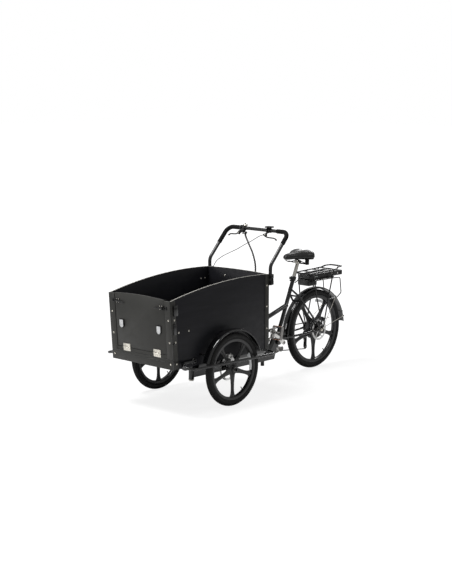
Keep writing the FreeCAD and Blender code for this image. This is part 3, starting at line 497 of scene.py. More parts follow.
FRONT_AXLE = Vector((560, 0, 250))
REAR_AXLE = Vector((-733, 0, 300.5))
HALF_TRACK = 358
FRONT_RADIUS = 250
REAR_RADIUS = 300.5
FRONT_RIM_INNER = 188
REAR_RIM_INNER = 234
FRONT_ROTOR_Y = 318
REAR_ROTOR_Y = 56
BEAD_DROP = 44.3
TYRE_HALF = 23.5


def tyre(wheel_radius, pitch=15.0):
    """A tyre with ribs on its walls and five rows of tread blocks."""
    middle = wheel_radius - TYRE_HALF
    carcass = TYRE_HALF - 2.2
    section = []
    for step in range(41):
        angle = math.radians(-152 + 304 * step / 40)
        tilt = abs(math.degrees(angle))
        rib = 0.8 if abs(tilt - 82) < 5 or abs(tilt - 116) < 4 else 0
        section.append(((carcass + rib) * math.sin(angle), middle + (carcass + rib) * math.cos(angle)))
    shapes = [lathe(section, 144)]
    count = round(2 * math.pi * wheel_radius / pitch)
    rows = ((-62, -45, 0.1, 0.72), (-39, -17, 0.55, 1.25), (-11, 11, 0.0, 0.7), (17, 39, 0.55, 1.25),
            (45, 62, 0.1, 0.72))
    points = []
    faces = []
    for index in range(count):
        for low, high, start, end in rows:
            skew = 0.16 if low > 0 else -0.16
            base = len(points)
            for radius, shrink in ((carcass - 0.6, 0.0), (TYRE_HALF, 0.06)):
                for tilt_share in (0.0, 0.5, 1.0):
                    tilt = math.radians(low + shrink * 12 + (high - low - shrink * 24) * tilt_share)
                    lean = skew * (tilt_share - 0.5)
                    for share in (start + shrink, end - shrink):
                        turn = 2 * math.pi * (index + share + lean) / count
                        reach = middle + radius * math.cos(tilt)
                        points.append(Vector((reach * math.cos(turn), radius * math.sin(tilt),
                                              reach * math.sin(turn))))
            faces.extend(tuple(base + corner for corner in face) for face in (
                (6, 7, 9, 8), (8, 9, 11, 10), (0, 2, 8, 6), (2, 4, 10, 8), (1, 7, 9, 3), (3, 9, 11, 5),
                (0, 6, 7, 1), (4, 5, 11, 10)))
    return joined(shapes[0], (points, faces))


def spoke(inner, outer, hub_width, waist, rim_width, half_depth):
    """One spoke along +x: a flat web with a raised rib on each face, flaring into the hub and rim."""
    steps = 22
    points = []
    for step in range(steps + 1):
        share = step / steps
        x = inner + (outer - inner) * share
        near_hub = (1 - share) ** 3
        near_rim = share ** 7
        half = (waist + (hub_width - waist) * near_hub + (rim_width - waist) * near_rim) / 2
        rib = min(half * 0.62, 5.2 + 5 * near_rim)
        web = half_depth * 0.48 + half_depth * 0.3 * near_hub
        crest = half_depth * (0.95 - 0.12 * math.sin(math.pi * share))
        ring = [(-half, -web * 0.55), (-half, web * 0.55), (-half * 0.86, web), (-rib, web),
                (-rib * 0.7, crest),
                (rib * 0.7, crest), (rib, web), (half * 0.86, web), (half, web * 0.55), (half, -web * 0.55),
                (half * 0.86, -web), (rib, -web), (rib * 0.7, -crest), (-rib * 0.7, -crest), (-rib, -web),
                (-half * 0.86, -web)]
        points.extend(Vector((x, across, along)) for along, across in ring)
    count = 16
    faces = []
    for step in range(steps):
        here = step * count
        after = here + count
        for side in range(count):
            ahead = (side + 1) % count
            faces.append((here + side, here + ahead, after + ahead, after + side))
    faces.append(tuple(range(count)))
    faces.append(tuple(range(steps * count, (steps + 1) * count)))
    return points, faces


def rim(wheel_radius, inner):
    """A deep moulded rim with two lips and a sunken bed."""
    outer = wheel_radius - BEAD_DROP
    section = [(-16, outer + 3), (-16, inner + 7), (-13.5, inner + 2), (-9, inner), (9, inner),
               (13.5, inner + 2), (16, inner + 7), (16, outer + 3), (14, outer + 4.5), (11.5, outer + 3),
               (11, outer - 2), (6, outer - 6), (-6, outer - 6), (-11, outer - 2), (-11.5, outer + 3),
               (-14, outer + 4.5)]
    return lathe(section, 144)


def valve(wheel_radius, inner, angle):
    """A tyre valve that points to the hub."""
    stem = joined(lathe([(0, 0), (0, 3.2), (4, 3.2), (5, 2.6), (20, 2.6), (20, 0)], 14, closed=False),
                  moved(lathe([(0, 0), (0, 3.6), (7, 3.4), (9, 2.0), (9, 0)], 14, closed=False), (0, 20, 0)))
    direction = Vector((-math.cos(math.radians(angle)), 0, -math.sin(math.radians(angle))))
    return at_normal(stem, -direction * (inner + 1), direction)


def rim_reflector(radius, angle, half_span, y):
    """A curved reflector strip inside the rim."""
    section = [(-3, radius - 9), (-3, radius + 9), (0, radius + 10.5), (3, radius + 9), (3, radius - 9)]
    return moved(lathe(section, 16, angle - half_span, angle + half_span), (0, y, 0))


def brake_rotor(bore):
    """A brake disc with a pierced braking ring on six swept arms."""
    bm = bmesh.new()
    levels = [66, 69.5, 72, 75, 77.5, 82]
    steps = 180
    holes = {1: (1, 2, 6), 3: (1, 5, 6)}
    rows = []
    angles = [2 * math.pi * index / steps for index in range(steps)]
    for radius in levels:
        rows.append([bm.verts.new((radius * math.cos(angle), 0, radius * math.sin(angle)))
                     for angle in angles])
    for level, (inside, outside) in enumerate(zip(rows, rows[1:])):
        for index in range(steps):
            if index % 10 not in holes.get(level, ()):
                ahead = (index + 1) % steps
                bm.faces.new((inside[index], inside[ahead], outside[ahead], outside[index]))
    bmesh.ops.solidify(bm, geom=bm.faces[:], thickness=2.0)
    ring = moved(taken(bm), (0, 1, 0))
    carrier = moved(disc(24, 2, 0.3, bore, 48), (0, -1, 0))
    arms = []
    for index in range(6):
        path = [(20 + 49 * share, 26 * share * (1 - share)) for share in [step / 8 for step in range(9)]]
        halves = [5 - 1.5 * math.sin(math.pi * step / 8) for step in range(9)]
        outline = [(x, z + half) for (x, z), half in zip(path, halves)]
        outline += [(x, z - half) for (x, z), half in reversed(list(zip(path, halves)))]
        arms.append(moved(plate(outline, 1.9, 0.2), turn=rotation("Y", 60 * index)))
    bolts = []
    for index in range(6):
        angle = math.radians(60 * index + 30)
        bolts.append(screw_at(3.4, 2.4, (19 * math.cos(angle), 1, 19 * math.sin(angle)), (0, 1, 0)))
    y_values = [point.y for point in ring[0]]
    centred = moved(ring, (0, -(max(y_values) + min(y_values)) / 2, 0))
    return joined(centred, carrier, *arms), joined(*bolts)


def front_wheel():
    """The spoked front wheel, its hub standing out on both faces."""
    hub = lathe([(-27, 9), (-27, 22), (-24, 25), (-15, 26), (-11, 34), (-8, 38), (8, 38), (11, 34), (15, 26),
                 (24, 25), (27, 22), (27, 9)], 64)
    arm = spoke(28, FRONT_RIM_INNER + 6, 44, 23, 62, 10.5)
    spokes = [moved(arm, turn=rotation("Y", 90 + 72 * index)) for index in range(5)]
    return joined(rim(FRONT_RADIUS, FRONT_RIM_INNER), hub, *spokes)


for side, sign in SIDES:
    centre = FRONT_AXLE + Vector((0, HALF_TRACK * sign, 0))
    body = side + "_front_wheel"
    piece("front_tyre_" + side + "_tread", moved(tyre(FRONT_RADIUS), centre), "tyre_rubber", body,
          ("front_tyre_" + side,))
    piece("front_wheel_" + side + "_moulding", moved(front_wheel(), centre), "wheel_black", body,
          ("front_wheel_" + side,), 30)
    piece("front_valve_" + side, moved(valve(FRONT_RADIUS, FRONT_RIM_INNER, 238), centre),
          "black_plastic", body)
    piece("front_rim_reflector_" + side, moved(rim_reflector(172, 170, 20, 9 * sign), centre),
          "reflector_clear", body)
    hub_ring = lathe([(28.2 * sign, 9.5), (28.2 * sign, 15), (26 * sign, 16), (26 * sign, 9.5)], 40)
    piece("front_bearing_" + side, moved(hub_ring, centre), "drive_steel", body)
    disc_shape, disc_bolts = brake_rotor(14)
    rotor_at = FRONT_AXLE + Vector((0, FRONT_ROTOR_Y * sign, 0))
    piece("front_rotor_" + side + "_disc", moved(disc_shape, rotor_at), "rotor_steel", body,
          ("front_rotor_" + side,), 25)
    inner_bolts = disc_bolts if sign < 0 else mirrored(disc_bolts)
    piece("front_rotor_" + side + "_bolts", moved(inner_bolts, rotor_at), "fittings_steel", body)

rear_hub = lathe([(-17, 68.2), (-17, 74), (-14, 78), (14, 78), (17, 74), (17, 68.2)], 96)
rear_spokes = [moved(spoke(74, REAR_RIM_INNER + 6, 56, 25, 70, 11.5), turn=rotation("Y", 90 + 72 * index))
               for index in range(5)]
piece("rear_tyre_tread", moved(tyre(REAR_RADIUS), REAR_AXLE), "tyre_rubber", "back_wheel", ("rear_tyre",))
rear_wheel = joined(rim(REAR_RADIUS, REAR_RIM_INNER), rear_hub, *rear_spokes)
piece("rear_wheel_moulding", moved(rear_wheel, REAR_AXLE), "wheel_black", "back_wheel", ("rear_wheel",), 30)
piece("rear_valve", moved(valve(REAR_RADIUS, REAR_RIM_INNER, 236), REAR_AXLE), "black_plastic", "back_wheel")
piece("rear_rim_reflector", moved(rim_reflector(214, 104, 11, 9), REAR_AXLE), "reflector_clear",
      "back_wheel")
motor_profile = [(-38, 6.2), (-38, 30), (-36.5, 40), (-33, 60), (-30, 66), (-26, 68), (34, 68), (38, 66),
                 (42, 58), (45, 40), (46, 27), (47, 24), (55, 24), (55, 6.2)]
motor_ribs = [moved(block((26, 1.6, 3), (44, 43.6, 0), 0.5), turn=rotation("Y", 20 * index))
              for index in range(18)]
piece("hub_motor_shell", moved(joined(lathe(motor_profile, 96), *motor_ribs), REAR_AXLE), "motor_shell",
      "back_wheel", ("hub_motor",), 28)
motor_bolts = []
for index in range(8):
    angle = index * math.pi / 4
    motor_bolts.append(screw_at(3.2, 2.2, (61 * math.cos(angle), 40.6, 61 * math.sin(angle)), (0, 1, 0)))
piece("hub_motor_bolts", moved(joined(*motor_bolts), REAR_AXLE), "fittings_steel", "back_wheel")
rear_disc, rear_disc_bolts = brake_rotor(8)
rear_rotor_at = REAR_AXLE + Vector((0, REAR_ROTOR_Y, 0))
piece("rear_rotor_disc", moved(rear_disc, rear_rotor_at), "rotor_steel", "back_wheel", ("rear_rotor",), 25)
piece("rear_rotor_bolts", moved(rear_disc_bolts, rear_rotor_at), "fittings_steel", "back_wheel")

cogs = [moved(gear(teeth, radius - 4, radius, 1.8, radius - 12), (0, -44.6 - 3.8 * index, 0))
        for index, (teeth, radius) in enumerate(((19, 38), (17, 34), (15, 30), (13, 26), (12, 23), (11, 20)))]
cassette_core = moved(disc(17, 26, 0.6, 8), (0, -65, 0))
piece("cassette_cogs", moved(joined(cassette_core, *cogs), REAR_AXLE), "drive_steel", "sprockets",
      ("cassette",), 25)
axle_parts = [moved(disc(6, 176, 0.8, 0, 28), (0, -88, 0))]
for start in (79.2, -86.2):
    axle_parts.append(moved(hexagon(19, 5.5), (0, start + 1, 0)))
    axle_parts.append(moved(disc(11.5, 1.2, 0.3, 0, 28), (0, start if start > 0 else start + 6.4, 0)))
piece("rear_axle_nuts", moved(joined(*axle_parts), REAR_AXLE), "fittings_steel", "rear_chassis",
      ("rear_axle",))


# ---------------------------------------------------------------- mudguards and their stays


def guard_strip(inner_radius, half_width, first, last):
    """A mudguard's arched section with rolled edges, swept round the axle."""
    rise = 12
    outside = []
    inside = []
    for step in range(17):
        angle = math.pi * step / 16
        lift = math.sin(angle) ** 0.75
        outside.append((half_width * math.cos(angle), inner_radius + rise * lift))
        inside.append(((half_width - 1.8) * math.cos(angle), inner_radius + (rise - 1.8) * lift))
    section = outside + list(reversed(inside))
    strip = lathe(section, 90, first, last)
    edges = []
    for side in (1, -1):
        path = [Vector((math.cos(a) * inner_radius, (half_width - 0.9) * side, math.sin(a) * inner_radius))
                for a in [math.radians(first + (last - first) * k / 90) for k in range(91)]]
        edges.append(tube(path, 1.4, 8))
    return joined(strip, *edges)


guards = []
guard_brackets = []
for side, sign in SIDES:
    centre = FRONT_AXLE + Vector((0, HALF_TRACK * sign, 0))
    guards.append(moved(guard_strip(266, 30, 17, 160), centre))
    for angle in (30, 142):
        x = 560 + 275 * math.cos(math.radians(angle))
        z = 250 + 275 * math.sin(math.radians(angle))
        guard_brackets.append(block((24, 38, 3), (x, 309 * sign, z - 7.5), 0.8))
        guard_brackets.append(screw_at(4.5, 3, (x, 318 * sign, z - 6), (0, 0, 1)))
piece("front_mudguards_shell", joined(*guards), "frame_paint", "carriage", ("front_mudguards",), 50)
piece("front_mudguards_brackets", joined(*guard_brackets), "black_plastic", "carriage")

REAR_GUARD = Vector((-737, 0, 279))
piece("rear_mudguard_shell", moved(guard_strip(330, 31, -3, 174), REAR_GUARD),
      "frame_paint", "rear_chassis", ("rear_mudguard",), 50)
stays = []
stay_clips = []
for sign in (1, -1):
    for angle in (14, 48):
        reach = 332
        low = Vector((-751, 82 * sign, 314))
        high = Vector((REAR_GUARD.x - reach * math.cos(math.radians(angle)), 33.4 * sign,
                       REAR_GUARD.z + reach * math.sin(math.radians(angle))))
        stays.append(rod(2.2, low, high, 12))
        stay_clips.append(block((12, 7, 9), high, 1.5))
piece("rear_mudguard_wires", joined(*stays), "fittings_steel", "rear_chassis", ("rear_mudguard_stays",))
piece("rear_mudguard_clips", joined(*stay_clips), "black_plastic", "rear_chassis")
piece("rear_reflector_case", block((6, 28, 36), (-1072.2, 0, 381), 2), "black_plastic", "rear_chassis",
      ("rear_reflector",))
piece("rear_reflector_lens", block((3, 22, 28), (-1075.2, 0, 382), 1.2), "reflector_rear", "rear_chassis")


# ---------------------------------------------------------------- rear frame


def weld(centre, direction, radius, thickness=1.6):
    """A rippled bead of weld round a tube's end."""
    steps = 72
    path = []
    for step in range(steps):
        angle = 2 * math.pi * step / steps
        reach = radius + 0.5 * math.sin(step * 1.9)
        path.append(Vector((reach * math.cos(angle), 0.4 * math.sin(step * 2.6), reach * math.sin(angle))))
    return at_normal(tube(path, thickness, 8, True), centre, direction)


cad_piece("rear_frame", "frame_paint", 0, 32)
SEAT_RUN = Vector((-198, 0, 463)).normalized()
welds = [weld((-302, -34, 265), (0, 1, 0), 21), weld((-302, 34, 265), (0, 1, 0), 21),
         weld((590, 0, 130.5), (0, 0, 1), 19.4), weld((590, 0, 221.5), (0, 0, 1), 19.4),
         weld((-309, 0, 282), SEAT_RUN, 15.4), weld((-416, 0, 521), (0.94, 0, -0.33), 16.4),
         weld((-64, 0, 188), (0.34, 0, -0.94), 16.4)]
for sign in (1, -1):
    welds.append(weld((-459, 11 * sign, 632), (-0.8, 0.35 * sign, -0.5), 7.8, 1.2))
    welds.append(weld((-317, 19 * sign, 276), (-0.95, 0.3 * sign, 0.1), 8.8, 1.2))
piece("rear_frame_welds", joined(*welds), "frame_paint", "rear_chassis")
clips = []
for share in (0.25, 0.55, 0.85):
    spot = Vector((-302, 0, 265)).lerp(Vector((-490, 0, 705)), share) + Vector((16, 0, 6))
    clips.append(block((5, 10, 8), spot, 1.5, SEAT_RUN.to_track_quat("Z", "Y").to_matrix()))
piece("rear_frame_cable_guides", joined(*clips), "black_plastic", "rear_chassis")
cad_piece("steering_kingpin", "fittings_steel", 0.6)


# ---------------------------------------------------------------- rack and battery

RACK_HALF = 74
LOOP_HALF = 58
RACK_FRONT = -592
RACK_BEND = 18
rack = [tube(rounded([(-800, -RACK_HALF, 743), (-915, -RACK_HALF, 746), (-950, -LOOP_HALF - 4, 757),
                      (-1002, -LOOP_HALF, 757), (-1002, LOOP_HALF, 757), (-950, LOOP_HALF + 4, 757),
                      (-915, RACK_HALF, 746), (RACK_FRONT, RACK_HALF, 738), (RACK_FRONT, -RACK_HALF, 738),
                      (-801, -RACK_HALF, 743)], RACK_BEND), 6, 16),
        rod(5, (RACK_FRONT, 0, 738), (-892, 0, 745.5))]
for cross_x, cross_z in ((-690, 740.4), (-790, 742.9), (-890, 745.4)):
    rack.append(rod(5, (cross_x, -RACK_HALF, cross_z), (cross_x, RACK_HALF, cross_z)))
for sign in (1, -1):
    for leg in ([(-640, 75 * sign, 739), (-668, 82 * sign, 560), (-742, 84 * sign, 318)],
                [(-880, 75 * sign, 745), (-812, 84 * sign, 560), (-752, 84 * sign, 326)]):
        rack.append(tube(rounded(leg, 80), 5))
    rack.append(tube(rounded([(-644, 80 * sign, 684), (-868, 82 * sign, 682), (-944, 84 * sign, 680),
                              (-961, 84 * sign, 560), (-913, 84 * sign, 530), (-800, 84 * sign, 524)],
                             RACK_BEND), 4, 14))
    rack.append(tube(rounded([(-494, 13.6 * sign, 680), (-545, 40 * sign, 722),
                              (RACK_FRONT - 2, 56 * sign, 738)], 30), 4, 12))
    rack.append(block((18, 5, 34), (-747, 86 * sign, 318), 1.6))
piece("luggage_rack_tubes", joined(*rack), "frame_paint", "rear_chassis", ("luggage_rack",))
rack_fixings = []
for sign in (1, -1):
    rack_fixings.append(screw_at(5, 3.2, (-747, 88.5 * sign, 312), (0, sign, 0)))
    for x in (-672, -880):
        rack_fixings.append(screw_at(3.6, 2.6, (x, 56 * sign, 716), (0, sign, 0)))
piece("luggage_rack_screws", joined(*rack_fixings), "fittings_steel", "rear_chassis")

dock = [block((300, 112, 14), (-760, 0, 683), 2.5), block((96, 112, 46), (-656, 0, 667), 7, None, 3)]
for x in (-690, -678, -666, -654, -642, -630):
    dock.append(block((5, 113.4, 28), (x, 0, 668), 0.6))
for y in (56, -56):
    dock.append(block((120, 8, 5), (-800, y, 690), 1))
piece("battery_dock_case", joined(*dock), "battery_case", "rear_chassis", ("battery_dock",))
pack_body = [block((390, 108, 37), (-817.5, 0, 709), 6, None, 3), block((30, 60, 20), (-1021, 0, 708), 3)]
pack_body.append(block((300, 74, 2.4), (-800, 0, 728), 1))
for sign in (1, -1):
    for z in (716, 702):
        pack_body.append(block((330, 1.6, 3), (-815, 54.4 * sign, z), 0.6))
pack_body.append(moved(lathe([(0, 0), (0, 11), (3, 11), (3, 8), (1.5, 7), (1.5, 0)], 28, closed=False),
                       (-980, 54, 710)))
piece("battery_pack_case", joined(*pack_body), "battery_case", "battery", ("battery_pack",))
lock = lathe([(0, 0), (0, 6.5), (3.2, 6.5), (3.2, 0)], 24, closed=False)
piece("battery_lock", moved(lock, (-948, 54, 710)), "alloy", "battery")
piece("battery_charge_window", block((44, 1.6, 8), (-690, 54.6, 709), 0.7), "battery_case", "battery",
      surface=lamp_window)


# ---------------------------------------------------------------- drive

CRANK = Vector((-302, 0, 265))
CHAIN_Y = -54
CRANK_LENGTH = 170
CRANK_ANGLE = 36
ARM_Y = 74
PEDAL_Y = 132
PEDAL_TILT = {"left": 78, "right": 10}


def tapered_arm(length, near, far, depth):
    """A crank arm along +x with rounded ends and a groove down its outer face."""
    steps = 14
    outline = []
    for index in range(steps + 1):
        angle = math.pi / 2 + math.pi * index / steps
        outline.append((near * math.cos(angle), near * math.sin(angle)))
    for index in range(steps + 1):
        angle = -math.pi / 2 + math.pi * index / steps
        outline.append((length + far * math.cos(angle), far * math.sin(angle)))
    arm = plate(outline, depth, 2.4)
    return joined(arm, block((length * 0.62, depth + 1.2, 7), (length * 0.5, 0, 0), 2))


def crank_turn(sign):
    """The turn that takes +x to the crank arm on one side."""
    return rotation("Y", -CRANK_ANGLE if sign > 0 else 180 - CRANK_ANGLE)


crank_parts = []
crank_dark = []
for sign in (1, -1):
    turn = crank_turn(sign)
    arm_middle = CRANK + Vector((0, ARM_Y * sign, 0))
    crank_parts.append(moved(tapered_arm(CRANK_LENGTH, 16, 12.5, 12), arm_middle, turn))
    cap = lathe([(0, 0), (0, 9.5), (2.6, 9.5), (3.4, 8.4), (3.4, 4.5), (1.2, 4.2), (1.2, 0)], 30,
                closed=False)
    crank_dark.append(at_normal(cap, CRANK + Vector((0, 80.5 * sign, 0)), (0, sign, 0)))
    pedal_at = CRANK + turn @ Vector((CRANK_LENGTH, 0, 0)) + Vector((0, ARM_Y * sign, 0))
    crank_dark.append(at_normal(hexagon(11, 5), pedal_at + Vector((0, -10 * sign, 0)), (0, sign, 0)))
    crank_dark.append(rod(4, pedal_at, pedal_at + Vector((0, 97 * sign, 0)), 18))
crank_parts.append(moved(disc(10, 150, 1, 0, 28), CRANK + Vector((0, -75, 0))))
spider_arm = plate([(10, 10), (40, 8), (66, 9), (70, 5), (70, -5), (66, -9), (40, -8), (10, -10)], 5, 1)
for index in range(5):
    crank_parts.append(moved(spider_arm, CRANK + Vector((0, -60, 0)),
                             rotation("Y", -CRANK_ANGLE + 72 * index)))
crank_parts.append(moved(disc(18, 10, 1.5, 0, 40), CRANK + Vector((0, -68, 0))))
piece("crankset_arms", joined(*crank_parts), "alloy", "crank", ("crankset",), 30)
piece("crankset_bolts", joined(*crank_dark), "drive_steel", "crank")
ring = moved(gear(42, 82, 86, 3, 66), CRANK + Vector((0, CHAIN_Y, 0)))
ring_bolts = []
for index in range(5):
    angle = math.radians(45 + 72 * index)
    at = CRANK + Vector((67 * math.cos(angle), -62.6, 67 * math.sin(angle)))
    ring_bolts.append(screw_at(4.2, 2.4, at, (0, -1, 0)))
piece("chainring_teeth", ring, "drive_steel", "crank", (), 25)
piece("chainring_bolts", joined(*ring_bolts), "fittings_steel", "crank")

for side, sign in SIDES:
    centre = CRANK + crank_turn(sign) @ Vector((CRANK_LENGTH, 0, 0)) + Vector((0, PEDAL_Y * sign, 0))
    frame_parts = []
    for y in (-40, 40):
        frame_parts.append(plate([(-50, -9), (-44, -13), (44, -13), (50, -9), (50, 9), (44, 13), (-44, 13),
                                  (-50, 9)], 7, 1.2, y))
        for tooth in range(9):
            for z in (13.4, -13.4):
                frame_parts.append(block((4, 6, 2.4), (-40 + 10 * tooth, y, z), 0.5))
    for x in (-43, 43):
        frame_parts.append(block((9, 80, 16), (x, 0, 0), 2))
    frame_parts.append(lathe([(-40, 4.1), (-40, 12), (-34, 12), (-30, 9), (30, 9), (34, 12), (40, 12),
                              (40, 4.1)], 32))
    tilt = rotation("Y", PEDAL_TILT[side])
    piece("pedal_" + side + "_cage", moved(joined(*frame_parts), centre, tilt), "drive_steel",
          side + "_pedal", ("pedal_" + side,), 30)
    lenses = [block((2.4, 56, 13), (x, 0, 0), 0.9) for x in (-48.6, 48.6)]
    piece("pedal_" + side + "_reflectors", moved(joined(*lenses), centre, tilt), "reflector_rear",
          side + "_pedal", surface=amber_lens)


def belt_points(wheels, pitch):
    """Evenly spaced points round a belt on wheels given as (x, z, signed radius)."""
    runs = []
    for (x1, z1, r1), (x2, z2, r2) in zip(wheels, wheels[1:] + wheels[:1]):
        ahead = Vector((x2 - x1, 0, z2 - z1))
        distance = ahead.length
        ahead.normalize()
        left = Vector((-ahead.z, 0, ahead.x))
        across = (r2 - r1) / distance
        normal = ahead * across + left * math.sqrt(1 - across * across)
        runs.append((Vector((x1, 0, z1)) - normal * r1, Vector((x2, 0, z2)) - normal * r2))
    path = []
    for index, (start, end) in enumerate(runs):
        path.append(start)
        x, z, signed = wheels[(index + 1) % len(wheels)]
        following = runs[(index + 1) % len(runs)][0]
        first = math.atan2(end.z - z, end.x - x)
        sweep = math.atan2(following.z - z, following.x - x) - first
        if signed > 0 and sweep < 0:
            sweep += 2 * math.pi
        if signed < 0 and sweep > 0:
            sweep -= 2 * math.pi
        for step in range(24):
            angle = first + sweep * step / 24
            path.append(Vector((x + abs(signed) * math.cos(angle), 0, z + abs(signed) * math.sin(angle))))
    length = sum((b - a).length for a, b in zip(path, path[1:] + path[:1]))
    count = 2 * round(length / pitch / 2)
    spacing = length / count
    places = []
    walked = 0.0
    for a, b in zip(path, path[1:] + path[:1]):
        run = (b - a).length
        while len(places) * spacing <= walked + run and len(places) < count:
            places.append(a.lerp(b, (len(places) * spacing - walked) / run))
        walked += run
    return places


def link_plate(length, waist, end, depth, y):
    outline = []
    for centre, start in ((0, 90), (length, -90)):
        for index in range(7):
            angle = math.radians(start + 180 * index / 6)
            outline.append((centre + end * math.cos(angle), end * math.sin(angle)))
        outline.append((length / 2, waist * (-1 if centre == 0 else 1)))
    return plate(outline, depth, 0, y)


chain_places = belt_points([(-302, 265, 84), (-733, 300.5, 40), (-702, 226, -18), (-700, 158, 18)], 12.7)
chain_parts = []
for index, here in enumerate(chain_places):
    ahead = chain_places[(index + 1) % len(chain_places)]
    run = ahead - here
    turn = Matrix.Rotation(-math.atan2(run.z, run.x), 4, "Y")
    width = 3.2 if index % 2 else 2.2
    for side in (1, -1):
        chain_parts.append(moved(link_plate(run.length, 2.3, 3.9, 0.9, width * side),
                                 here + Vector((0, CHAIN_Y, 0)), turn))
    chain_parts.append(moved(disc(2.6, 6.8, 0.3, 0, 10), here + Vector((0, CHAIN_Y - 3.4, 0))))
piece("chain_links", joined(*chain_parts), "drive_steel", "rear_chassis", ("chain",), 25)

derailleur_dark = []
derailleur_metal = []
for x, z in ((-702, 226), (-700, 158)):
    derailleur_dark.append(moved(gear(11, 12.5, 15.5, 2.4, 4), (x, CHAIN_Y, z)))
    for y in (CHAIN_Y - 7.4, CHAIN_Y + 7.4):
        derailleur_metal.append(moved(disc(6.5, 1.6, 0.4, 0, 20), (x, y - 0.8, z)))
    derailleur_metal.append(rod(3, (x, CHAIN_Y - 9, z), (x, CHAIN_Y + 9, z), 12))
cage_outline = [(-12, 4), (-10, -62), (-6, -74), (2, -80), (10, -74), (12, -62), (8, -20), (14, 0), (8, 10),
                (-4, 12)]
for y in (CHAIN_Y - 6.8, CHAIN_Y + 6.8):
    derailleur_dark.append(moved(plate(cage_outline, 2, 0.5), (-702, y, 226)))
derailleur_dark.append(tube(rounded([(-703, -66, 226), (-712, -74, 240), (-730, -84, 270)], 12), 8, 16))
derailleur_dark.append(block((24, 14, 26), (-722, -78, 256), 4, rotation("Y", 28), 3))
derailleur_metal.append(block((16, 8, 28), (-730, -83.5, 272), 1.6))
derailleur_metal.append(screw_at(5.5, 3.5, (-730, -87.4, 281), (0, -1, 0)))
piece("rear_derailleur_arms", joined(*derailleur_dark), "black_plastic", "rear_chassis",
      ("rear_derailleur",), 30)
piece("rear_derailleur_pins", joined(*derailleur_metal), "drive_steel", "rear_chassis")


# ---------------------------------------------------------------- brakes


def caliper_shape(centre, angle, sign):
    """A two-piece caliper astride a rotor, its knob and screws on the side given by sign."""
    shell = [block((26, 11.4, 46), (83, y, 0), 3, steps=3) for y in (9.3, -9.3)]
    shell.append(block((12, 16, 40), (90, 0, 0), 2))
    shell.append(moved(lathe([(0, 0), (0, 11), (3, 11), (5, 8.5), (8, 8.5), (8, 0)], 32, closed=False),
                       (82, 15 * sign, 0), facing((0, sign, 0))))
    fixings = [screw_at(3.4, 2.6, (83, 15 * sign, z), (0, sign, 0)) for z in (-17, 17)]
    fixings += [screw_at(4, 3.4, (83, 0, z), (0, 0, 1 if z > 0 else -1)) for z in (-22, 22)]
    fixings.append(at_normal(hexagon(9, 9), (95, 6 * sign, 14), (1, 0, 0)))
    turn = rotation("Y", -angle)
    return moved(joined(*shell), centre, turn), moved(joined(*fixings), centre, turn)


front_shells = []
front_screws = []
for side, sign in SIDES:
    shell, fixings = caliper_shape(FRONT_AXLE + Vector((0, FRONT_ROTOR_Y * sign, 0)), 100, -sign)
    front_shells.append(shell)
    front_screws.append(fixings)
piece("front_brake_calipers_shell", joined(*front_shells), "alloy", "carriage",
      ("front_brake_calipers",), 30)
piece("front_brake_calipers_screws", joined(*front_screws), "drive_steel", "carriage")
shell, fixings = caliper_shape(rear_rotor_at, 115, -1)
piece("rear_brake_caliper_shell", shell, "black_plastic", "rear_chassis", ("rear_brake_caliper",), 30)
piece("rear_brake_caliper_screws", fixings, "fittings_steel", "rear_chassis")


# ---------------------------------------------------------------- carriage

cad_piece("carriage_frame", "frame_paint", 1.4)
bars = []
for sign in (1, -1):
    corners = [(850, 302 * sign, 345), (1012, 302 * sign, 346), (1002, 412 * sign, 323),
               (165, 412 * sign, 307), (165, 302 * sign, 318), (270, 302 * sign, 322)]
    bars.append(tube(rounded(corners, 52, 14), 9, 22))
    for x, z in ((866, 344), (240, 324)):
        bars.append(block((28, 4, 36), (x, 292.4 * sign, z), 1.2))
piece("guard_bars_tubes", joined(*bars), "frame_paint", "carriage", ("guard_bars",))
bar_screws = []
axle_caps = []
for sign in (1, -1):
    for x, z in ((866, 358), (240, 338)):
        bar_screws.append(screw_at(4, 2.6, (x, 294.4 * sign, z), (0, sign, 0)))
    axle_caps.append(at_normal(hexagon(19, 8), (560, 387 * sign, 250), (0, sign, 0)))
    axle_caps.append(at_normal(disc(13, 1.6, 0.4), (560, 386 * sign, 250), (0, sign, 0)))
piece("guard_bar_screws", joined(*bar_screws), "drive_steel", "carriage")
piece("front_axle_nuts", joined(*axle_caps), "fittings_steel", "carriage")


# ---------------------------------------------------------------- cargo box

BOX_FRONT = 1047
BOX_REAR = 116
BOX_LEAN = 32
BOX_HALF = 290
BOX_BOTTOM = 310
FRONT_HEIGHT = 457
PANEL = 12
front_turn = rotation("Y", math.degrees(math.atan2(BOX_LEAN, FRONT_HEIGHT)))


def on_front(shape):
    """A shape built against the plane x = 0, stood on the leaning front of the box."""
    return moved(shape, (BOX_FRONT, 0, BOX_BOTTOM), front_turn)


for node in ("floor_panel", "left_panel", "right_panel", "rear_panel"):
    cad_piece(node, "box_board", 0.9)
cad_piece("front_hatch", "profile_grey", 1.0)
cad_piece("front_sill", "profile_grey", 0.7)
cad_piece("corner_posts", "profile_grey", 0.5)


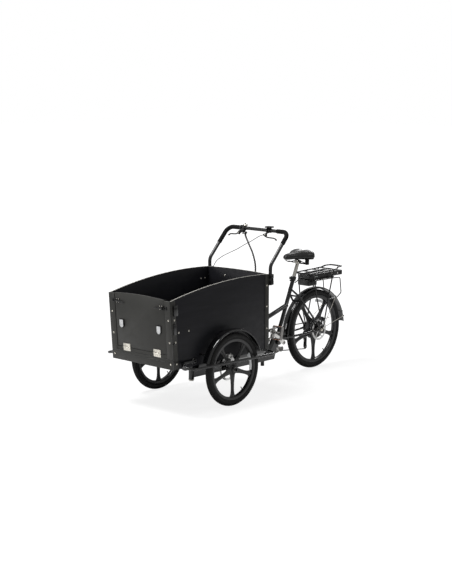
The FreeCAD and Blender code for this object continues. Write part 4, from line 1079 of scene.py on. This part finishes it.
def arc_points(start, middle, end, steps):
    """Points on the arc through three points in a plane."""
    (ax, ay), (bx, by), (cx, cy) = start, middle, end
    a2 = ax * ax + ay * ay
    b2 = bx * bx + by * by
    c2 = cx * cx + cy * cy
    double = 2 * (ax * (by - cy) + bx * (cy - ay) + cx * (ay - by))
    ux = (a2 * (by - cy) + b2 * (cy - ay) + c2 * (ay - by)) / double
    uy = (a2 * (cx - bx) + b2 * (ax - cx) + c2 * (bx - ax)) / double
    radius = math.hypot(ax - ux, ay - uy)
    first = math.atan2(ay - uy, ax - ux)
    last = math.atan2(cy - uy, cx - ux)
    return [(ux + radius * math.cos(first + (last - first) * k / steps),
             uy + radius * math.sin(first + (last - first) * k / steps)) for k in range(steps + 1)]


def edge_strip(path, half, height, across):
    """A thin flat strip along a path, for a board's bare top edge, its light colour partly a painted
    highlight along that edge.
    """
    points = []
    across = Vector(across)
    for point in path:
        centre = Vector(point)
        low = [centre - across * half, centre + across * half]
        points += low + [low[1] + Vector((0, 0, height)), low[0] + Vector((0, 0, height))]
    faces = [(0, 1, 2, 3), tuple(range(len(points) - 4, len(points)))]
    for index in range(len(path) - 1):
        for corner in range(4):
            ahead = (corner + 1) % 4
            here = index * 4
            faces.append((here + corner, here + ahead, here + 4 + ahead, here + 4 + corner))
    return points, faces


side_crown = arc_points((1066.7, 767), (597, 838), (116, 841), 40)
rear_crown = arc_points((278, 841), (0, 848), (-278, 841), 24)
strips = [edge_strip([(x, sign * (BOX_HALF - PANEL / 2), z) for x, z in side_crown], 5.0, 0.7, (0, 1, 0))
          for sign in (1, -1)]
strips.append(edge_strip([(BOX_REAR + PANEL / 2, y, z) for y, z in rear_crown], 5.0, 0.7, (1, 0, 0)))
# Light strips along the panels' top edges: bare board edge and painted highlight.
piece("panel_edge_and_highlight", joined(*strips), "box_board", "carriage", surface=board_edge)

bolt_shapes = []
for sign in (1, -1):
    for z in (330, 182, 36):
        bolt_shapes.append(on_front(screw_at(4.8, 3.4, (2, 268 * sign, z), (1, 0, 0))))
        bolt_shapes.append(on_front(screw_at(4.8, 3.4, (-30, 292 * sign, z), (0, sign, 0))))
    for z in (765, 617, 462):
        bolt_shapes.append(screw_at(4.8, 3.4, (136, 292 * sign, z), (0, sign, 0)))
    for x in (998, 906):
        bolt_shapes.append(screw_at(4.8, 3.4, (x, 290 * sign, 553), (0, sign, 0)))
piece("panel_bolts_heads", joined(*bolt_shapes), "fittings_steel", "carriage", ("panel_bolts",))
inner_bolts = []
for sign in (1, -1):
    for x in (165, 204):
        inner_bolts.append(screw_at(5, 3, (x, 278 * sign, 760), (0, -sign, 0)))
    inner_bolts.append(screw_at(5, 3, (128, 118 * sign, 790), (1, 0, 0)))
    for x in (906, 998):
        inner_bolts.append(screw_at(5, 3, (x, 278 * sign, 553), (0, -sign, 0)))
piece("inner_bolt_heads", joined(*inner_bolts), "fittings_steel", "carriage")
side_straps = []
seams = []
for sign in (1, -1):
    side_straps.append(on_front(block((35, 14, 71), (-39, 297 * sign, 392), 2)))
    side_straps.append(on_front(block((24, 5, 72), (-27, 294.5 * sign, 268), 1.5)))
    side_straps.append(on_front(at_normal(disc(8, 6, 1), (-18, 292 * sign, 172), (0, sign, 0))))
    seams.append(on_front(block((2.4, 2.4, 455), (1.2, 291.4 * sign, 229), 0.6)))
for z, low, high in ((69.5, -288, 288), (50, -262, 262)):
    seams.append(on_front(block((1.6, high - low, 2.2), (2.2, (low + high) / 2, z), 0.5)))
piece("corner_strap_plates", joined(*side_straps), "frame_paint", "carriage")
piece("front_profile_seams", joined(*seams), "frame_paint", "carriage")

knuckle_z = 96.5
leaf_screws = {"hatch": [], "carriage": []}
cad_piece("hinge_fixed_leaves", "fittings_steel", 0.3)
cad_piece("hinge_moving_leaves", "fittings_steel", 0.3)
for sign in (1, -1):
    for y in (-20, 0, 20):
        for body, drop in (("carriage", -15), ("hatch", 15)):
            at = (2, 145 * sign + y, knuckle_z + drop)
            leaf_screws[body].append(on_front(screw_at(3.4, 1.6, at, (1, 0, 0))))
for body, screws in leaf_screws.items():
    piece("hinge_screws_" + body, joined(*screws), "fittings_steel", body)

shield = [(-20, 30), (20, 30), (20, -9), (16.5, -19), (9, -27), (0, -30), (-9, -27), (-16.5, -19),
          (-20, -9)]
lens_shapes = []
lens_frames = []
for sign in (1, -1):
    inner = [(x * 0.86, z * 0.88) for x, z in shield]
    at = Vector((0, 178 * sign, 256))
    lens_frames.append(on_front(moved(plate(shield, 8, 1.0, 0), at + Vector((4, 0, 0)), rotation("Z", 90))))
    lens_shapes.append(on_front(moved(plate(inner, 2.4, 0.7, 0), at + Vector((8, 0, 0)), rotation("Z", 90))))
piece("hatch_reflector_frames", joined(*lens_frames), "black_plastic", "hatch")
piece("hatch_reflector_lenses", joined(*lens_shapes), "reflector_clear", "hatch", ("hatch_reflectors",))

latch_z = 410
cad_piece("latch_bases", "black_plastic", 0.5)
latch_screws = []
for side, sign in SIDES:
    for y in (-15, 4):
        for z in (-10, 10):
            latch_screws.append(on_front(screw_at(2.8, 1.6, (3, (212 + y) * sign, latch_z + z), (1, 0, 0))))
    barrel = lathe([(-7.5, 2.6), (-7.5, 5.5), (7.5, 5.5), (7.5, 2.6)], 24)
    upright = moved(barrel, (12, 226 * sign, latch_z), rotation("X", 90))
    handle_path = smooth_path([(13, 222 * sign, latch_z), (15, 200 * sign, latch_z - 1),
                               (13, 172 * sign, latch_z - 3), (9, 152 * sign, latch_z - 4),
                               (9, 147 * sign, latch_z - 4)], 6)
    handle = tube(handle_path, lambda share: 4.6 - 1.6 * share, 12)
    flat_points = [Vector((12 + (p.x - 12) * 0.6, p.y, latch_z + (p.z - latch_z) * 1.35)) for p in handle[0]]
    hook = tube(rounded([(14, 210 * sign, latch_z + 5), (14, 232 * sign, latch_z + 5),
                         (14, 232 * sign, latch_z - 5), (14, 210 * sign, latch_z - 5)], 3), 1.3, 10)
    lever_shape = joined(upright, (flat_points, handle[1]), hook)
    piece("latch_lever_" + side + "_handle", on_front(lever_shape), "black_plastic", "latch_" + side,
          ("latch_lever_" + side,))
piece("latch_screws", joined(*latch_screws), "fittings_steel", "hatch")
keepers = []
for sign in (1, -1):
    keepers.append(on_front(block((5, 20, 22), (4.5, 252 * sign, latch_z), 1.4)))
    keepers.append(on_front(block((10, 5, 14), (9, 245 * sign, latch_z), 1.4)))
piece("latch_keepers", joined(*keepers), "black_plastic", "carriage")


# ---------------------------------------------------------------- handlebar and controls

BAR_TOP = 1112
BAR_TOP_X = -97
BAR_RADIUS = 12.5
RING_BORE = BAR_RADIUS + 0.1
GRIP_DROP = {"left": 104, "right": 150}
BELL_Y = -122
bar_corners = [(100, -291, 762), (100, -291, 897), (BAR_TOP_X, -288, BAR_TOP), (BAR_TOP_X, 288, BAR_TOP),
               (100, 291, 897), (100, 291, 762)]
piece("handlebar_tube", tube(rounded(bar_corners, 62, 16), BAR_RADIUS, 32), "wheel_black", "carriage",
      ("handlebar",))
brackets = []
bracket_bolts = []
for sign in (1, -1):
    for z in (781, 824):
        brackets.append(block((29, 38, 30), (97, 290 * sign, z), 3))
        bracket_bolts.append(screw_at(4.4, 3, (97, 309 * sign, z), (0, sign, 0)))
        bracket_bolts.append(screw_at(4.4, 3, (82.5, 290 * sign, z), (-1, 0, 0)))
    brackets.append(block((12, 34, 76), (89, 290 * sign, 802), 2))
piece("handlebar_brackets_clamps", joined(*brackets), "black_plastic", "carriage", ("handlebar_brackets",))
piece("handlebar_bracket_bolts", joined(*bracket_bolts), "black_plastic", "carriage")


def foam_radius(share):
    """Foam sleeve with soft ends and slight rings pressed in."""
    end = min(share, 1 - share)
    return BAR_RADIUS + 0.3 + 3.2 * min(1.0, end / 0.02) - 0.2 * max(0.0, math.sin(share * 150))


sleeves = []
for side, sign in SIDES:
    top = Vector((BAR_TOP_X, 288 * sign, BAR_TOP))
    down = (Vector((100, 291 * sign, 897)) - top).normalized()
    path = rounded([Vector((BAR_TOP_X, 178 * sign, BAR_TOP)), top, top + down * GRIP_DROP[side]], 62, 20)
    fine = []
    for a, b in zip(path, path[1:]):
        pieces = max(1, round((b - a).length / 2))
        fine += [a.lerp(b, k / pieces) for k in range(pieces)]
    fine.append(path[-1])
    sleeves.append(tube(fine, foam_radius, 28))
piece("grips_foam", joined(*sleeves), "grip_rubber", "carriage", ("grips",), 60)

LEVER_REACH = {"left": 116, "right": 96}
LEVER_TURN = rotation("Y", 53.13)
CLAMP_Y = {"left": 96, "right": -158}
clamp_parts = []
clamp_bolts = []
for side, sign in SIDES:
    y = CLAMP_Y[side]
    clamp_ring = lathe([(-7, RING_BORE), (-7, 19), (-6, 20), (6, 20), (7, 19), (7, RING_BORE)], 40)
    clamp_parts.append(moved(clamp_ring, (BAR_TOP_X, y, BAR_TOP)))
    clamp_parts.append(tube([(-92, y, 1106), (-84, y, 1097), (-72, y, 1085)],
                            lambda share: 9 - 2 * math.sin(math.pi * share), 20))
    for offset in (-7.5, 7.5):
        clamp_parts.append(moved(block((20, 16, 5.6), (0, 0, offset), 1.6), (-67, y, 1079), LEVER_TURN))
    hose_boss = [(-74, y - 4 * sign, 1086), (-68, y - 14 * sign, 1084), (-66, y - 20 * sign, 1083)]
    clamp_parts.append(tube(hose_boss, 5.4, 16))
    clamp_bolts.append(screw_at(3.4, 2.8, (BAR_TOP_X - 19, y, BAR_TOP + 4), (-1, 0, 0.2)))
    clamp_bolts.append(at_normal(lathe([(-11, 0), (-11, 3.4), (-10, 4), (10, 4), (11, 3.4), (11, 0)], 16,
                                       closed=False), (-66, y + 1.5 * sign, 1078), (0.8, 0, 0.6)))
    reach = LEVER_REACH[side]
    path = smooth_path([(-66, y + 3 * sign, 1078), (-58.5, y + 26 * sign, 1068),
                        (-60, y + 0.76 * reach * sign, 1065), (-57, y + (reach - 4) * sign, 1055)], 10)
    blade = tube(path, lambda share: 5.6 - 0.8 * math.sin(math.pi * share) + (1.0 if share > 0.96 else 0), 16)
    pivot = moved(block((9, 9, 8), (0, 0, 0), 1.5), (-66, y + 3.5 * sign, 1078), LEVER_TURN)
    piece("brake_lever_" + side + "_blade", joined(blade, pivot), "black_plastic", side + "_brake_lever",
          ("brake_lever_" + side,))
shifter_y = -122
shifter_pod = lathe([(-14, 0), (-14, 12), (-11, 15), (11, 15), (14, 12), (14, 0)], 32, closed=False)
clamp_parts.append(moved(shifter_pod, (-72, shifter_y, 1096)))
clamp_parts.append(rod(6, (-72, shifter_y, 1096), (-86, shifter_y, 1109), 16))
piece("lever_clamps_castings", joined(*clamp_parts), "black_plastic", "carriage", ("lever_clamps",))
piece("lever_clamp_bolts", joined(*clamp_bolts), "fittings_steel", "carriage")
thumb = [moved(disc(3, 8.6, 0.4), (-72, shifter_y, 1072), rotation("X", 90)),
         moved(disc(8, 5, 1, 0, 28), (-72, shifter_y, 1072), rotation("X", 90)),
         block((40, 10, 5), (-96, shifter_y, 1074.5), 2)]
thumb += [block((2, 9, 1.2), (-112 + 4 * k, shifter_y, 1077.2), 0.3) for k in range(5)]
piece("shift_lever_paddle", joined(*thumb), "black_plastic", "shifter", ("shift_lever",))

dome_section = [(0, 18)] + [(18 * math.sin(math.radians(a)) * 0.92, 18 * math.cos(math.radians(a)))
                            for a in range(6, 90, 6)] + [(16.8, 0)]
dome_outside = lathe([(-1, 17.2)] + dome_section, 48, closed=False)
knob = lathe([(16.2, 0), (16.2, 4.5), (18, 4.5), (18.6, 3.6), (18.6, 0)], 24, closed=False)
dome = moved(joined(dome_outside, knob), (BAR_TOP_X, BELL_Y, BAR_TOP + 17), rotation("X", 90))
piece("bell_dome", dome, "bright_chrome", "carriage", ("bell",))
bell_ring = lathe([(-5, RING_BORE), (-5, 16), (5, 16), (5, RING_BORE)], 36)
bell_base = [moved(bell_ring, (BAR_TOP_X, BELL_Y, BAR_TOP)),
             moved(disc(7, 5, 0.6, 0, 24), (BAR_TOP_X, BELL_Y, BAR_TOP + 14), rotation("X", 90))]
piece("bell_strap", joined(*bell_base), "black_plastic", "carriage")
tab_path = smooth_path([(-74, BELL_Y, 1128), (-64, BELL_Y + 1, 1127), (-52, BELL_Y + 4, 1123)], 6)
tab = [tube(tab_path, lambda share: 2.2 + 1.2 * share, 12),
       moved(disc(3, 8, 0.5, 0, 20), (-75, BELL_Y, 1125), rotation("X", 90))]
piece("bell_lever_tab", joined(*tab), "black_plastic", "bell_thumb", ("bell_lever",))
screen_ring = lathe([(-8, RING_BORE), (-8, 16.4), (8, 16.4), (8, RING_BORE)], 36)
screen_case = [block((46, 52, 10), (-89, 114, BAR_TOP + 26), 3.4, steps=3),
               moved(screen_ring, (BAR_TOP_X, 116, BAR_TOP)),
               block((14, 15, 8), (BAR_TOP_X, 116, BAR_TOP + 18), 1.5)]
screen_case += [block((7, 9, 2.4), (-76, 100 + 14 * index, BAR_TOP + 31), 1) for index in range(3)]
piece("control_display_case", joined(*screen_case), "black_plastic", "carriage", ("control_display",))
piece("control_display_glass", block((24, 42, 1.6), (-98, 114, BAR_TOP + 31.2), 0.6), "black_plastic",
      "carriage", surface=display_glass)


# ---------------------------------------------------------------- cables on the handlebar

loom_route = [(-78, -98, 1086), (-40, -70, 1068), (0, -2, 1018), (34, 66, 960), (58, 112, 890),
              (80, 134, 825), (90, 138, 784)]
brake_route = [(-62, 80, 1082), (-52, 46, 1068), (-34, -6, 1034), (-16, -62, 1002), (2, -116, 968),
               (24, -168, 940), (46, -218, 911), (64, -260, 874), (77, -284, 824)]
loom_path = smooth_path(loom_route, 12)
wrap = []
wrap_steps = 26 * 16
for index in range(wrap_steps):
    spot = index / (wrap_steps - 1) * (len(loom_path) - 1)
    low = min(int(spot), len(loom_path) - 2)
    centre = loom_path[low].lerp(loom_path[low + 1], spot - low)
    along = (loom_path[low + 1] - loom_path[low]).normalized()
    side = along.cross(Vector((1, 0, 0))).normalized()
    angle = 2 * math.pi * index / 16
    wrap.append(centre + (side * math.cos(angle) + along.cross(side) * math.sin(angle)) * 6.3)
piece("handlebar_cables_sheaths", joined(tube(loom_path, 5.8, 16), tube(wrap, 1.1, 8),
                                         tube(smooth_path(brake_route, 10), 2.5, 12)),
      "cable_sheath", "carriage", ("handlebar_cables",))


# ---------------------------------------------------------------- seat

cad_piece("seat_clamp", "frame_paint", 0.6)
lever = tube(smooth_path([(-464, 17, 718), (-456, 21, 717), (-440, 24, 711), (-424, 25.5, 705)], 6),
             lambda share: 4.4 - 0.8 * math.sin(math.pi * share), 14)
cam = moved(disc(5.5, 12, 0.8, 0, 28), (-464, 19, 712), rotation("X", 90))
stub = rod(2.4, (-464, 11.5, 718), (-464, 19, 718))
piece("seat_clamp_lever_arm", joined(lever, cam, stub), "black_plastic", "seat_lever", ("seat_clamp_lever",))
post_low = CRANK + SEAT_RUN * 262
post_high = CRANK + SEAT_RUN * 614
post = [tube([post_low, post_high], 13.6, 40)]
mark_ring = lathe([(-0.5, 13.5), (-0.5, 13.9), (0.5, 13.9), (0.5, 13.5)], 40)
for step in range(6):
    post.append(at_normal(mark_ring, post_low.lerp(post_high, 0.25 + step * 0.03), SEAT_RUN))
head = [block((44, 32, 9), (post_high.x, 0, post_high.z - 3), 2.4),
        block((40, 34, 8), (post_high.x, 0, post_high.z + 9), 2.4),
        moved(disc(12, 36, 2), (post_high.x, -18, post_high.z + 2))]
piece("seatpost_tube", joined(*post, *head), "bright_chrome", "saddle_post", ("seatpost",))
head_bolts = [screw_at(4.4, 3.4, (post_high.x + x, 0, post_high.z + 13), (0, 0, 1)) for x in (-14, 14)]
piece("seatpost_bolts", joined(*head_bolts), "drive_steel", "saddle_post")

SADDLE_STATIONS = ((-392, 15, 868, 22), (-400, 21, 864, 34), (-420, 27, 862, 41), (-445, 31, 861, 44),
                   (-482, 41, 860, 48), (-520, 66, 857, 54), (-556, 93, 853, 65), (-590, 107, 850, 72),
                   (-612, 106, 850, 72), (-626, 94, 855, 62), (-636, 74, 866, 38))


def saddle_at(x):
    """The saddle's half width, low level and height at a station, smoothly blended."""
    for low, high in zip(SADDLE_STATIONS, SADDLE_STATIONS[1:]):
        if low[0] >= x >= high[0]:
            t = (low[0] - x) / (low[0] - high[0])
            return [a + (b - a) * t for a, b in zip(low[1:], high[1:])]
    return list(SADDLE_STATIONS[-1][1:])


def saddle_shape():
    """The pad: narrow nose, wide two-lobed seat with a channel down the middle."""
    steps = 44
    sides = 48
    points = []
    for step in range(steps + 1):
        x = -392 - 244 * (step / steps)
        half, low, height = saddle_at(x)
        tail = min(1.0, max(0.0, (-520 - x) / 100))
        for side in range(sides):
            angle = 2 * math.pi * side / sides
            across = math.cos(angle)
            up = math.sin(angle)
            y = half * math.copysign(abs(across) ** 0.8, across)
            if up >= 0:
                z = low + height * 0.32 + height * 0.68 * up ** 0.62
            else:
                z = low + height * 0.32 * (1 - abs(up) ** 0.7)
            channel = math.exp(-(y / 19) ** 2) * (2 + 15 * tail) * max(0.0, up)
            notch = math.exp(-(y / 26) ** 2) * 20 * max(0.0, (-590 - x) / 46) ** 2
            points.append(Vector((x + notch, y, z - channel)))
    faces = []
    for step in range(steps):
        for side in range(sides):
            ahead = (side + 1) % sides
            here = step * sides
            faces.append((here + side, here + ahead, here + sides + ahead, here + sides + side))
    faces.append(tuple(range(sides)))
    faces.append(tuple(range(steps * sides, (steps + 1) * sides)))
    return points, faces


def apply_modifiers(item):
    """Give a piece the mesh that its modifiers make of it."""
    mesh = bpy.data.meshes.new_from_object(item.evaluated_get(bpy.context.evaluated_depsgraph_get()))
    item.modifiers.clear()
    item.data = mesh


def puffed(item, pressure, frames, reach):
    """Let a pad swell a little as cloth over its filling, its underside held, then keep that shape."""
    rest = [vertex.co.copy() for vertex in item.data.vertices]
    held = item.vertex_groups.new(name="held")
    bottom = [vertex.index for vertex in item.data.vertices if vertex.normal.z < -0.2]
    held.add(bottom, 1.0, "REPLACE")
    cloth = item.modifiers.new("cloth", "CLOTH")
    cloth.settings.vertex_group_mass = "held"
    cloth.settings.use_pressure = True
    cloth.settings.uniform_pressure_force = pressure
    cloth.settings.effector_weights.gravity = 0
    cloth.settings.tension_stiffness = 22
    cloth.settings.compression_stiffness = 22
    cloth.settings.bending_stiffness = 2
    cloth.settings.quality = 6
    cloth.point_cache.frame_start = 1
    cloth.point_cache.frame_end = frames
    for number in range(1, frames + 1):
        bpy.context.scene.frame_set(number)
    settled = item.evaluated_get(bpy.context.evaluated_depsgraph_get()).to_mesh()
    moved_points = [vertex.co.copy() for vertex in settled.vertices]
    item.modifiers.clear()
    for vertex, before, after in zip(item.data.vertices, rest, moved_points):
        step = after - before
        if step.length > reach:
            step *= reach / step.length
        vertex.co = before + step
    bpy.context.scene.frame_set(1)


saddle = piece("saddle_pad", saddle_shape(), "saddle_cover", "saddle_post", ("saddle",), 80)
remesh = saddle.modifiers.new("remesh", "REMESH")
remesh.mode = "VOXEL"
remesh.voxel_size = 0.005
remesh.use_smooth_shade = True
apply_modifiers(saddle)
puffed(saddle, 4.0, 20, 0.004)
finer = saddle.modifiers.new("finer", "SUBSURF")
finer.levels = 1
finer.render_levels = 1
apply_modifiers(saddle)
for polygon in saddle.data.polygons:
    polygon.use_smooth = True

seam = []
for sign in (1, -1):
    line = []
    for step in range(40):
        x = -396 - 236 * step / 39
        half, low, height = saddle_at(x)
        line.append((x, (half - 0.6) * sign, low + height * 0.28))
    seam.append(tube(line, 1.5, 8))
piece("saddle_piping", joined(*seam), "saddle_cover", "saddle_post")
base_rings = []
for step in range(13):
    x = -400 - 228 * step / 12
    half, low, height = saddle_at(x)
    base_rings += [Vector((x, (half - 6) * k / 4, low + 3 - 7 * (1 - (k / 4) ** 2))) for k in range(-4, 5)]
base_faces = [(row * 9 + k, row * 9 + k + 1, row * 9 + k + 10, row * 9 + k + 9)
              for row in range(12) for k in range(8)]
piece("saddle_base", (base_rings, base_faces), "black_plastic", "saddle_post", (), 60)

springs = []
for sign in (1, -1):
    springs.append(tube(rounded([(-422, 14 * sign, 852), (-465, 22 * sign, 838), (-545, 22 * sign, 838),
                                 (-590, 50 * sign, 816)], 30), 3.5, 14))
    coil = []
    coil_steps = 5 * 24
    for index in range(coil_steps):
        angle = 2 * math.pi * index / 24
        rise = 38 * (index / (coil_steps - 1))
        coil.append((-590 + 14.4 * math.cos(angle), 50 * sign + 14.4 * math.sin(angle), 811 + rise))
    springs.append(tube(coil, 2.6, 10))
    springs.append(moved(disc(13, 40, 2, 0, 28), (-590, 50 * sign, 811), rotation("X", 90)))
springs.append(rod(5, (-590, -50, 814), (-590, 50, 814)))
piece("saddle_springs_coils", joined(*springs), "black_plastic", "saddle_post", ("saddle_springs",))


# ---------------------------------------------------------------- stage, light and camera


def area_light(name, at, target, width, height, power):
    data = bpy.data.lights.new(name, "AREA")
    data.shape = "RECTANGLE"
    data.size = width
    data.size_y = height
    data.energy = power
    lamp = bpy.data.objects.new(name, data)
    bpy.context.scene.collection.objects.link(lamp)
    lamp.location = at
    lamp.rotation_euler = (Vector(target) - Vector(at)).to_track_quat("-Z", "Y").to_euler()


def mix_shaders(tree, share, first, second, output):
    """The output's surface, from the first shader to the second as the share goes from 0 to 1."""
    mix = new_node(tree, "ShaderNodeMixShader")
    tree.links.new(share, mix.inputs[0])
    tree.links.new(first.outputs[0], mix.inputs[1])
    tree.links.new(second.outputs[0], mix.inputs[2])
    tree.links.new(mix.outputs[0], tree.nodes[output].inputs["Surface"])


floor_material, floor_tree, floor_shader, floor_coordinates = material_nodes("studio_floor")
floor_tone = noise_value(floor_tree, floor_coordinates, 0.6)
blend_colour(floor_tree, floor_shader, floor_tone, (0.9, 0.9, 0.9), (0.93, 0.93, 0.93))
floor_shader.inputs["Roughness"].default_value = 0.7
floor_shader.inputs["Specular IOR Level"].default_value = 0.2
floor_length = new_node(floor_tree, "ShaderNodeVectorMath", operation="LENGTH")
floor_tree.links.new(floor_coordinates, floor_length.inputs[0])
floor_fade = new_node(floor_tree, "ShaderNodeMapRange", {"From Min": 1.2, "From Max": 4.0, "To Min": 0.7})
floor_tree.links.new(floor_length.outputs["Value"], floor_fade.inputs["Value"])
floor_rays = new_node(floor_tree, "ShaderNodeLightPath")
floor_share = new_node(floor_tree, "ShaderNodeMath", operation="MULTIPLY")
floor_tree.links.new(floor_fade.outputs["Result"], floor_share.inputs[0])
floor_tree.links.new(floor_rays.outputs["Is Camera Ray"], floor_share.inputs[1])
floor_glow = new_node(floor_tree, "ShaderNodeEmission", {"Strength": 1.18})
mix_shaders(floor_tree, floor_share.outputs["Value"], floor_shader, floor_glow, "Material Output")
floor_mesh = bpy.data.meshes.new("studio_floor")
reach = 40.0
floor_mesh.from_pydata([(-reach, -reach, 0), (reach, -reach, 0), (reach, reach, 0), (-reach, reach, 0)], [],
                       [(0, 1, 2, 3)])
floor = bpy.data.objects.new("studio_floor", floor_mesh)
floor.data.materials.append(floor_material)
bpy.context.scene.collection.objects.link(floor)

world = bpy.data.worlds.new("studio_white")
world.use_nodes = True
world_tree = world.node_tree
dim = world_tree.nodes["Background"]
dim.inputs["Color"].default_value = (1.0, 1.0, 1.0, 1)
seen = new_node(world_tree, "ShaderNodeBackground", {"Color": (1.0, 1.0, 1.0, 1), "Strength": 1.0})
rays = new_node(world_tree, "ShaderNodeLightPath")
strength = new_node(world_tree, "ShaderNodeMapRange", {"To Min": 0.2, "To Max": 0.4})
world_tree.links.new(rays.outputs["Is Glossy Ray"], strength.inputs["Value"])
world_tree.links.new(strength.outputs["Result"], dim.inputs["Strength"])
mix_shaders(world_tree, rays.outputs["Is Camera Ray"], dim, seen, "World Output")
bpy.context.scene.world = world

middle = (0.1, 0.0, 0.45)
area_light("key_softbox", (1.8, -0.9, 4.6), middle, 2.2, 1.8, 200)
area_light("front_softbox", (6.2, -3.6, 2.0), (0.9, 0, 0.5), 1.6, 1.6, 70)
area_light("side_softbox", (-1.6, 4.6, 3.8), middle, 2.0, 0.7, 32)
area_light("back_softbox", (-4.4, -1.6, 3.4), middle, 1.8, 1.0, 60)

back = Vector((0.7210, 0.6736, 0.1627)).normalized()
right = Vector((0, 0, 1)).cross(back).normalized()
up = back.cross(right)
camera_data = bpy.data.cameras.new("photo_view")
camera_data.lens = 81.78
camera_data.sensor_width = 36.0
camera = bpy.data.objects.new("photo_view", camera_data)
camera.matrix_world = Matrix(((right.x, up.x, back.x, 6.963), (right.y, up.y, back.y, 6.2815),
                              (right.z, up.z, back.z, 2.2148), (0, 0, 0, 1)))
bpy.context.scene.collection.objects.link(camera)
bpy.context.scene.camera = camera
bpy.context.scene.view_settings.view_transform = "Standard"
